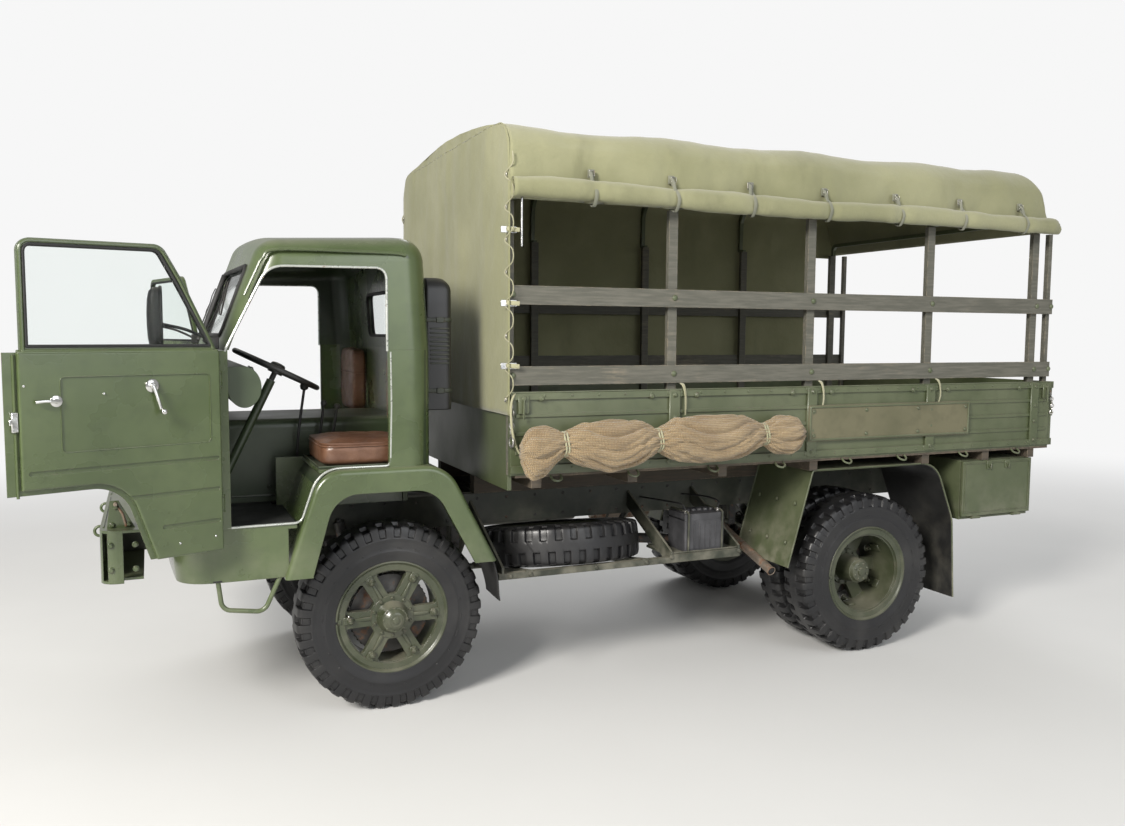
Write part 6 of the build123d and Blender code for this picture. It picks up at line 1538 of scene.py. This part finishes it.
def chain(piece, path, link=0.030, wire=0.0038):
    """Links set turn about along a line."""
    path = [Vector(p) for p in path]
    lengths = [0.0]
    for a, b in zip(path, path[1:]):
        lengths.append(lengths[-1] + (b - a).length)
    count = max(2, int(lengths[-1] / (0.74 * link)))
    for k in range(count):
        d = (k + 0.5) / count * lengths[-1]
        i = max(j for j in range(len(lengths)) if lengths[j] <= d)
        i = min(i, len(path) - 2)
        run = (path[i + 1] - path[i])
        at = path[i] + run * ((d - lengths[i]) / max(run.length, 1e-9))
        run.normalize()
        side = run.orthogonal().normalized()
        if k % 2:
            side = run.cross(side)
        loop = []
        for a in np.linspace(0, math.tau, 14, endpoint=False):
            c, s = math.cos(a), math.sin(a)
            loop.append(at + run * (c * (link / 2 - wire)) + side * (s * link * 0.28))
        piece.tube(loop, wire, 6, True)


chains = Piece()
for side in SIDES:
    chain(chains, spline([(x, side * y, z) for x, y, z in CHAIN_LINE], 4))
# shackle and rope end at the front of the left side
chain(chains, [(-0.556, 1.066, 1.60), (-0.553, 1.072, 1.52), (-0.553, 1.072, 1.44)], 0.040, 0.005)
chains.ring((-0.553, 1.072, 1.405), AHEAD, 0.026, 0.006, 26, 8)
chains.build("chains", "steel")
hooks = Piece()
webbing = Piece()
for z in (1.790, 2.105, 2.470):
    hooks.box((-0.585, 1.0565, z - 0.016), (-0.500, 1.0605, z + 0.016), 0.0015)
    hooks.turned([(0, 0.008), (0.004, 0.007), (0.006, 0.003)], (-0.572, 1.0605, z), LEFT, 12)
    loop = spline([(-0.530, 1.0630, z + 0.004), (-0.560, 1.080, z), (-0.590, 1.086, z - 0.002)], 4)
    webbing.tube(loop, 0.011, 8, flat=0.2, steady=UP)
hooks.rod((-0.600, 1.088, 2.385), (-0.600, 1.088, 2.640), 0.0065, 10)
for k, x in enumerate((-1.560, -2.490, -3.385)):
    tail = spline([(x + 0.012, 1.050, 1.688), (x + 0.006, 1.068, 1.676), (x, 1.0775, 1.640),
                   (x - 0.004, 1.0785, 1.585), (x - 0.003 + 0.006 * k, 1.0775, 1.515 + 0.012 * k)], 5)
    webbing.tube(tail, [mm / 1000 for mm in TAIL_HALF_WIDTHS], 8, flat=0.25, steady=AHEAD)
hooks.build("tilt_hooks", "bright")
webbing.build("side_webbing", "webbing")


def cord(name, finish, line, radius, sides, far_end):
    """A cord along a line, with its radius and sides; far_end is not used."""
    obj = Piece().tube(line, radius, sides).build(name, finish, sharp=80)


ROPE_LINE = ((-0.575, 1.063, 1.655), (-0.548, 1.082, 1.60), (-0.546, 1.090, 1.50), (-0.560, 1.088, 1.42),
             (-0.580, 1.080, 1.372), (-0.600, 1.078, 1.340))
cord("tie_rope", "webbing", spline(ROPE_LINE, 8), 0.0065, 10, "bare")

# planks of the load floor and ribs of the headboard
planks = Piece()
edges_y = np.linspace(-0.999, 0.999, 14)
for a, b in zip(edges_y, edges_y[1:]):
    planks.box((-4.358, a + 0.0015, 1.2392), (-0.582, b - 0.0015, 1.2412), 0.0008)
for x in (-0.70, -1.26, -1.83, -2.46, -3.32, -3.82, -4.22):
    for a, b in zip(edges_y, edges_y[1:]):
        planks.turned([(0, 0.0065), (0.0008, 0.0060)], (x, (a + b) / 2, 1.2412), UP, 10)
planks.build("floor_planks", "floor_timber")
board = Piece()
for y in np.linspace(-0.9, 0.9, 7):
    board.box((-0.5860, y - 0.016, 1.26), (-0.5795, y + 0.016, 1.645), 0.003)
board.box((-0.559, -0.99, 1.628), (-0.5475, 0.99, 1.660), 0.004)
board.build("headboard_ribs", "bed_paint")

# tail lamps' rims and the tailgate's reflectors
tail = Piece()
glow = Piece()
for side in SIDES:
    y = side * 0.880
    corners = ((-0.085, 1.075), (0.085, 1.075), (0.085, 1.165), (-0.085, 1.165))
    tail.loop(corners, 0.0045, lambda dy, z: (-4.2765, y + dy, z), 6)
    tail.box((-4.280, y - 0.003, 1.078), (-4.2745, y + 0.003, 1.162), 0.001)
    glow.turned([(0, 0.032), (0.006, 0.031), (0.010, 0.024), (0.011, 0.010)],
                (-4.4065, side * 0.985, 1.345), (-1, 0, 0), 24)
tail.build("tail_lamp_rims", "black_paint")
glow.build("reflectors", "red_lens", "tailgate")

# tool box: latches and pressed border
lid = Piece()
y = 1.0450
for x in (-4.02, -3.86):
    lid.box((x - 0.022, y - 0.001, 1.095), (x + 0.022, y + 0.0055, 1.150), 0.002)
    lid.tube([(x - 0.012, y + 0.009, 1.13), (x, y + 0.014, 1.098), (x + 0.012, y + 0.009, 1.13)], 0.004, 8)
for z in (0.820, 1.135):
    lid.tube([(-4.225, y + 0.0005, z), (-3.650, y + 0.0005, z)], 0.0035, 6)
for x in (-4.215, -3.66):
    lid.tube([(x, y + 0.0005, 0.820), (x, y + 0.0005, 1.135)], 0.0035, 6)
lid.build("tool_box_latches", "bed_paint", "tool_box_lid")

# Below the bed
under = Piece()
SPRING_IN, SPRING_OUT, SPRING_MID = 0.288, 0.362, 0.325
AXLE_Z = TYRE_R
CLAMP_TOP = AXLE_Z + 0.062 + 6 * 0.011 + 0.012
CLAMP_LOW = 0.445
# frame rails: rivets
for side in SIDES:
    face = side * 0.3752
    for x in np.arange(-4.20, 1.25, 0.18):
        for z in (0.880, 1.000):
            under.turned([(0, 0.009), (0.003, 0.008), (0.0055, 0.004)], (x, face, z), (0, side, 0), 10)
    # spring clamps: plate, U bolts and nuts
    for axle_x in (0.0, -WHEELBASE):
        for dx in (-0.040, 0.040):
            line = ((SPRING_IN, CLAMP_LOW), (SPRING_IN, CLAMP_TOP), (SPRING_MID, CLAMP_TOP + 0.014),
                    (SPRING_OUT, CLAMP_TOP), (SPRING_OUT, CLAMP_LOW))
            under.tube([(axle_x + dx, side * y, z) for y, z in line], 0.0075, 8)
            for y in (SPRING_IN, SPRING_OUT):
                under.bolt((axle_x + dx, side * y, 0.432), (0, 0, -1), 0.012, 0.012)
        under.box((axle_x - 0.058, side * 0.274, 0.430), (axle_x + 0.058, side * 0.376, 0.442), 0.003)
        half = 0.470 if axle_x == 0 else 0.560
        for end in SIDES:
            # shackle plates from the rail to the spring's eye
            x = axle_x + end * half
            for y, out in ((0.291, -1), (0.359, 1)):
                low = x - 0.024, side * y - 0.0035, 0.716
                under.box(low, (x + 0.024, side * y + 0.0035, 0.862), 0.004)
                under.bolt((x, side * (y + 0.0045 * out), 0.736), (0, side * out, 0), 0.012, 0.009, 0.018)
    # shock absorber beside each axle
    for axle_x in (0.0, -WHEELBASE):
        low = Vector((axle_x + 0.085, side * 0.395, 0.500))
        high = Vector((axle_x + 0.200, side * 0.398, 0.930))
        mid = low.lerp(high, 0.52)
        under.rod(low, mid, 0.026, 20, 0.003)
        under.rod(mid - (high - low) * 0.03, high, 0.031, 20, 0.003)
        for end, inward in ((low, 0.05), (high, 0.026)):
            under.rod(end + Vector((0, -side * inward, 0)), end + Vector((0, side * 0.02, 0)), 0.012, 12)
# axle casings: cover bolts and flanges
for axle_x, r in ((0.0, 0.152), (-WHEELBASE, 0.167)):
    nose = 1 if axle_x else -1
    bolt_r = r - 0.032
    for k in range(12):
        a = math.tau * k / 12
        place = (axle_x - nose * 0.052, -0.130 + bolt_r * math.cos(a), AXLE_Z + bolt_r * math.sin(a))
        under.bolt(place, (-nose, 0, 0), 0.008, 0.006)
    flange = ((-0.050, r - 0.012), (-0.052, r - 0.004), (-0.036, r - 0.002), (-0.034, r - 0.012))
    under.turned(flange, (axle_x, -0.130, AXLE_Z), (nose, 0, 0), 48)
# track rod
under.rod((0.125, -0.560, 0.430), (0.125, 0.560, 0.430), 0.0135, 14)
under.build("chassis_fittings", "casting")

rack = Piece()
for x, z in ((-0.716, 0.673), (-1.416, 0.673), (-1.10, 0.673), (-0.60, 0.673), (-1.577, 0.690),
             (-2.028, 0.690)):
    rack.bolt((x, 0.9305, z), LEFT, 0.010, 0.007, 0.015)
for y in (0.915, 0.655):
    rack.tube([(-2.03, y, 0.7075), (-1.575, y, 0.7075)], 0.006, 8)
# clamp bars over the battery
CLAMP_BAR = ((0.905, 0.710), (0.908, 0.925), (0.892, 0.933), (0.71, 0.933), (0.692, 0.925), (0.692, 0.710))
for x in (-1.700, -1.925):
    rack.tube([(x, y, z) for y, z in CLAMP_BAR], 0.006, 8)
rack.build("rack_fittings", "frame_paint")
# battery: filler caps, lid's edge, ribs, posts and leads
BATTERY_TOP = 0.922
FILLER_CAP = ((0, 0.016), (0.008, 0.0155), (0.012, 0.012), (0.013, 0.004))
battery = Piece()
for k in range(6):
    battery.turned(FILLER_CAP, (-1.712 - 0.040 * k, 0.800, BATTERY_TOP), UP, 18)
battery.box((-1.945, 0.6985, 0.880), (-1.680, 0.9015, 0.892), 0.003)
for k in range(7):
    x = -1.705 - 0.036 * k
    battery.box((x - 0.003, 0.8995, 0.720), (x + 0.003, 0.9030, 0.870), 0.001)
battery.build("battery_caps", "battery")
posts = Piece()
for x in (-1.705, -1.920):
    posts.turned(((0, 0.011), (0.018, 0.0095), (0.019, 0.004)), (x, 0.860, BATTERY_TOP), UP, 16)
    posts.box((x - 0.015, 0.842, 0.928), (x + 0.015, 0.878, 0.938), 0.003)
posts.build("battery_posts", "steel")
LEADS = {
    "battery_lead_a": ((-1.705, 0.860, 0.944), (-1.690, 0.83, 0.972), (-1.672, 0.70, 0.968),
                       (-1.665, 0.52, 0.955), (-1.66, 0.385, 0.945)),
    "battery_lead_b": ((-1.920, 0.860, 0.944), (-1.945, 0.83, 0.972), (-1.962, 0.70, 0.974),
                       (-1.965, 0.52, 0.960), (-1.96, 0.385, 0.945)),
}
for name, path in LEADS.items():
    cord(name, "seal", spline(path, 10), 0.0055, 8, "object")

# exhaust: clamps, the tail's lip, and a near-black disc inside it as painted shade down the pipe
PIPE_END, PIPE_AXIS = (-2.262, 0.930, 0.545), Vector((-0.017, 0.55, -0.185)).normalized()
PIPE_LIP = ((-0.004, 0.0275), (0.002, 0.0280), (0.003, 0.0245), (-0.002, 0.0225), (-0.030, 0.0215))
Piece().turned(PIPE_LIP, PIPE_END, PIPE_AXIS, 32, cap=False).build("tail_pipe_lip", "rusty")
# painted shade: a near-black disc closes the pipe just inside its lip
painted_shade_disc = Piece().turned(((0.0004, 0.0230), (0.0008, 0.004)), PIPE_END, PIPE_AXIS, 28)
painted_shade_disc.build("tail_pipe_hollow", "dark")
clamp = Piece()
for y in (-0.30, 0.10, 0.34):
    clamp.turned([(-0.014, 0.0285), (0.014, 0.0285)], (-2.245, y, 0.730), LEFT, 24)
    clamp.box((-2.262, y - 0.012, 0.752), (-2.228, y + 0.012, 0.790), 0.003)
for x in (-2.13, -1.86):
    clamp.turned([(-0.010, 0.088), (0.010, 0.088)], (x, -0.560, 0.700), AHEAD, 40)
clamp.build("exhaust_clamps", "frame_paint")
# fuel tank: straps and filler
tank = Piece()
for x in (-0.900, -1.450):
    band = round_box(-0.963, 0.617, -0.557, 1.003, 0.093, 8)
    tank.loop(band, 0.014, lambda y, z: (x, y, z), flat=0.16, steady=AHEAD)
    tank.bolt((x, -0.9645, 0.80), (0, -1, 0), 0.010, 0.010, 0.016)
FILLER = ((-0.010, 0.038), (0.030, 0.038), (0.034, 0.046), (0.050, 0.046), (0.055, 0.040), (0.056, 0.012))
tank.turned(FILLER, (-1.17, -0.935, 0.945), (0, -1, 0.35), 32)
tank.build("tank_straps", "frame_paint")
# rear mudguards: beads along the edges, and bolts
GUARD_EDGE = rounded([(0.613, 0.585), (0.447, 1.157), (-0.505, 1.157), (-0.655, 0.790), (-0.688, 0.275)],
                     (0, 0.025, 0.190, 0.210, 0), 9)
guard = Piece()
for side in SIDES:
    for y in (side * 0.500, side * 1.035):
        guard.tube([(x - WHEELBASE, y, z) for x, z in GUARD_EDGE], 0.0052, 6)
    for x, z in ((-2.335, 0.72), (-2.40, 0.95)):
        for y in (0.60, 0.78, 0.96):
            guard.bolt((x + 0.003, side * y, z), (1, 0, 0.29), 0.009, 0.006, 0.013)
guard.build("mudguard_beads", "bed_paint")
# front mud flaps and the step brackets above them
flaps = Piece()
for side in SIDES:
    for x in (0.50, 0.86):
        flaps.box((x - 0.022, side * 0.975, 0.800), (x + 0.022, side * 1.006, 0.812), 0.003)
    flaps.grid([
        [(-0.474 - 0.045 * t + 0.006 * math.sin(5 * t + 9 * y), side * y, 0.805 - 0.235 * t)
         for y in np.linspace(0.76, 1.005, 12)]
        for t in np.linspace(0, 1, 9)
    ])
flaps.build("front_mud_flaps", "seal", sharp=60).modifiers.new("thick", "SOLIDIFY").thickness = 0.005


# Air intake box behind the cab
CASE_X, CASE_Y, CASE_Z = (-0.3095, -0.1705), (0.6405, 0.8645), (1.5605, 2.2345)
CASE_TOP_R = 0.075
LOUVRES = 9
levels = [(CASE_Z[0], 0.006), (CASE_Z[0] + 0.004, 0.0), (1.75, 0.0), (1.95, 0.0), (2.10, 0.0)]
for k in range(1, 13):
    a = math.radians(7.5 * k)
    levels.append((CASE_Z[1] - CASE_TOP_R + CASE_TOP_R * math.sin(a), 0.060 * (1 - math.cos(a))))


def case_line(inset_rear, inset_front, inset_side, front_r, z):
    """The case's outline at a height, drawn in by its insets."""
    x0, x1 = CASE_X[0] + inset_rear, CASE_X[1] - inset_front
    y0, y1 = CASE_Y[0] + inset_side, CASE_Y[1] - inset_side
    radii = (0.042, front_r, front_r, 0.042)
    return [(x, y, z) for x, y in rounded([(x0, y0), (x1, y0), (x1, y1), (x0, y1)], radii, 7)]


rows = [case_line(inset, inset * 0.25, inset, 0.012, z) for z, inset in levels]
case = Piece()
case.grid(rows, wrap_v=True)
case.cap_ends(len(rows[0]), len(rows))
case.build("air_intake_case", "black_paint", sharp=50, replaces=("air_intake",))
bands = Piece()
for z in (1.66, 2.02):
    bands.tube(case_line(-0.001, 0, -0.001, 0.004, z), 0.011, 8, True, flat=0.2, steady=UP)
    bands.box((-0.262, CASE_Y[1] - 0.001, z - 0.014), (-0.222, CASE_Y[1] + 0.008, z + 0.014), 0.002)
for k in range(LOUVRES):
    z = 1.80 + 0.022 * k
    bands.box((-0.290, CASE_Y[1] - 0.0005, z - 0.004), (-0.190, CASE_Y[1] + 0.005, z + 0.004), 0.0015)
bands.build("air_intake_bands", "frame_paint")


low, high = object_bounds()
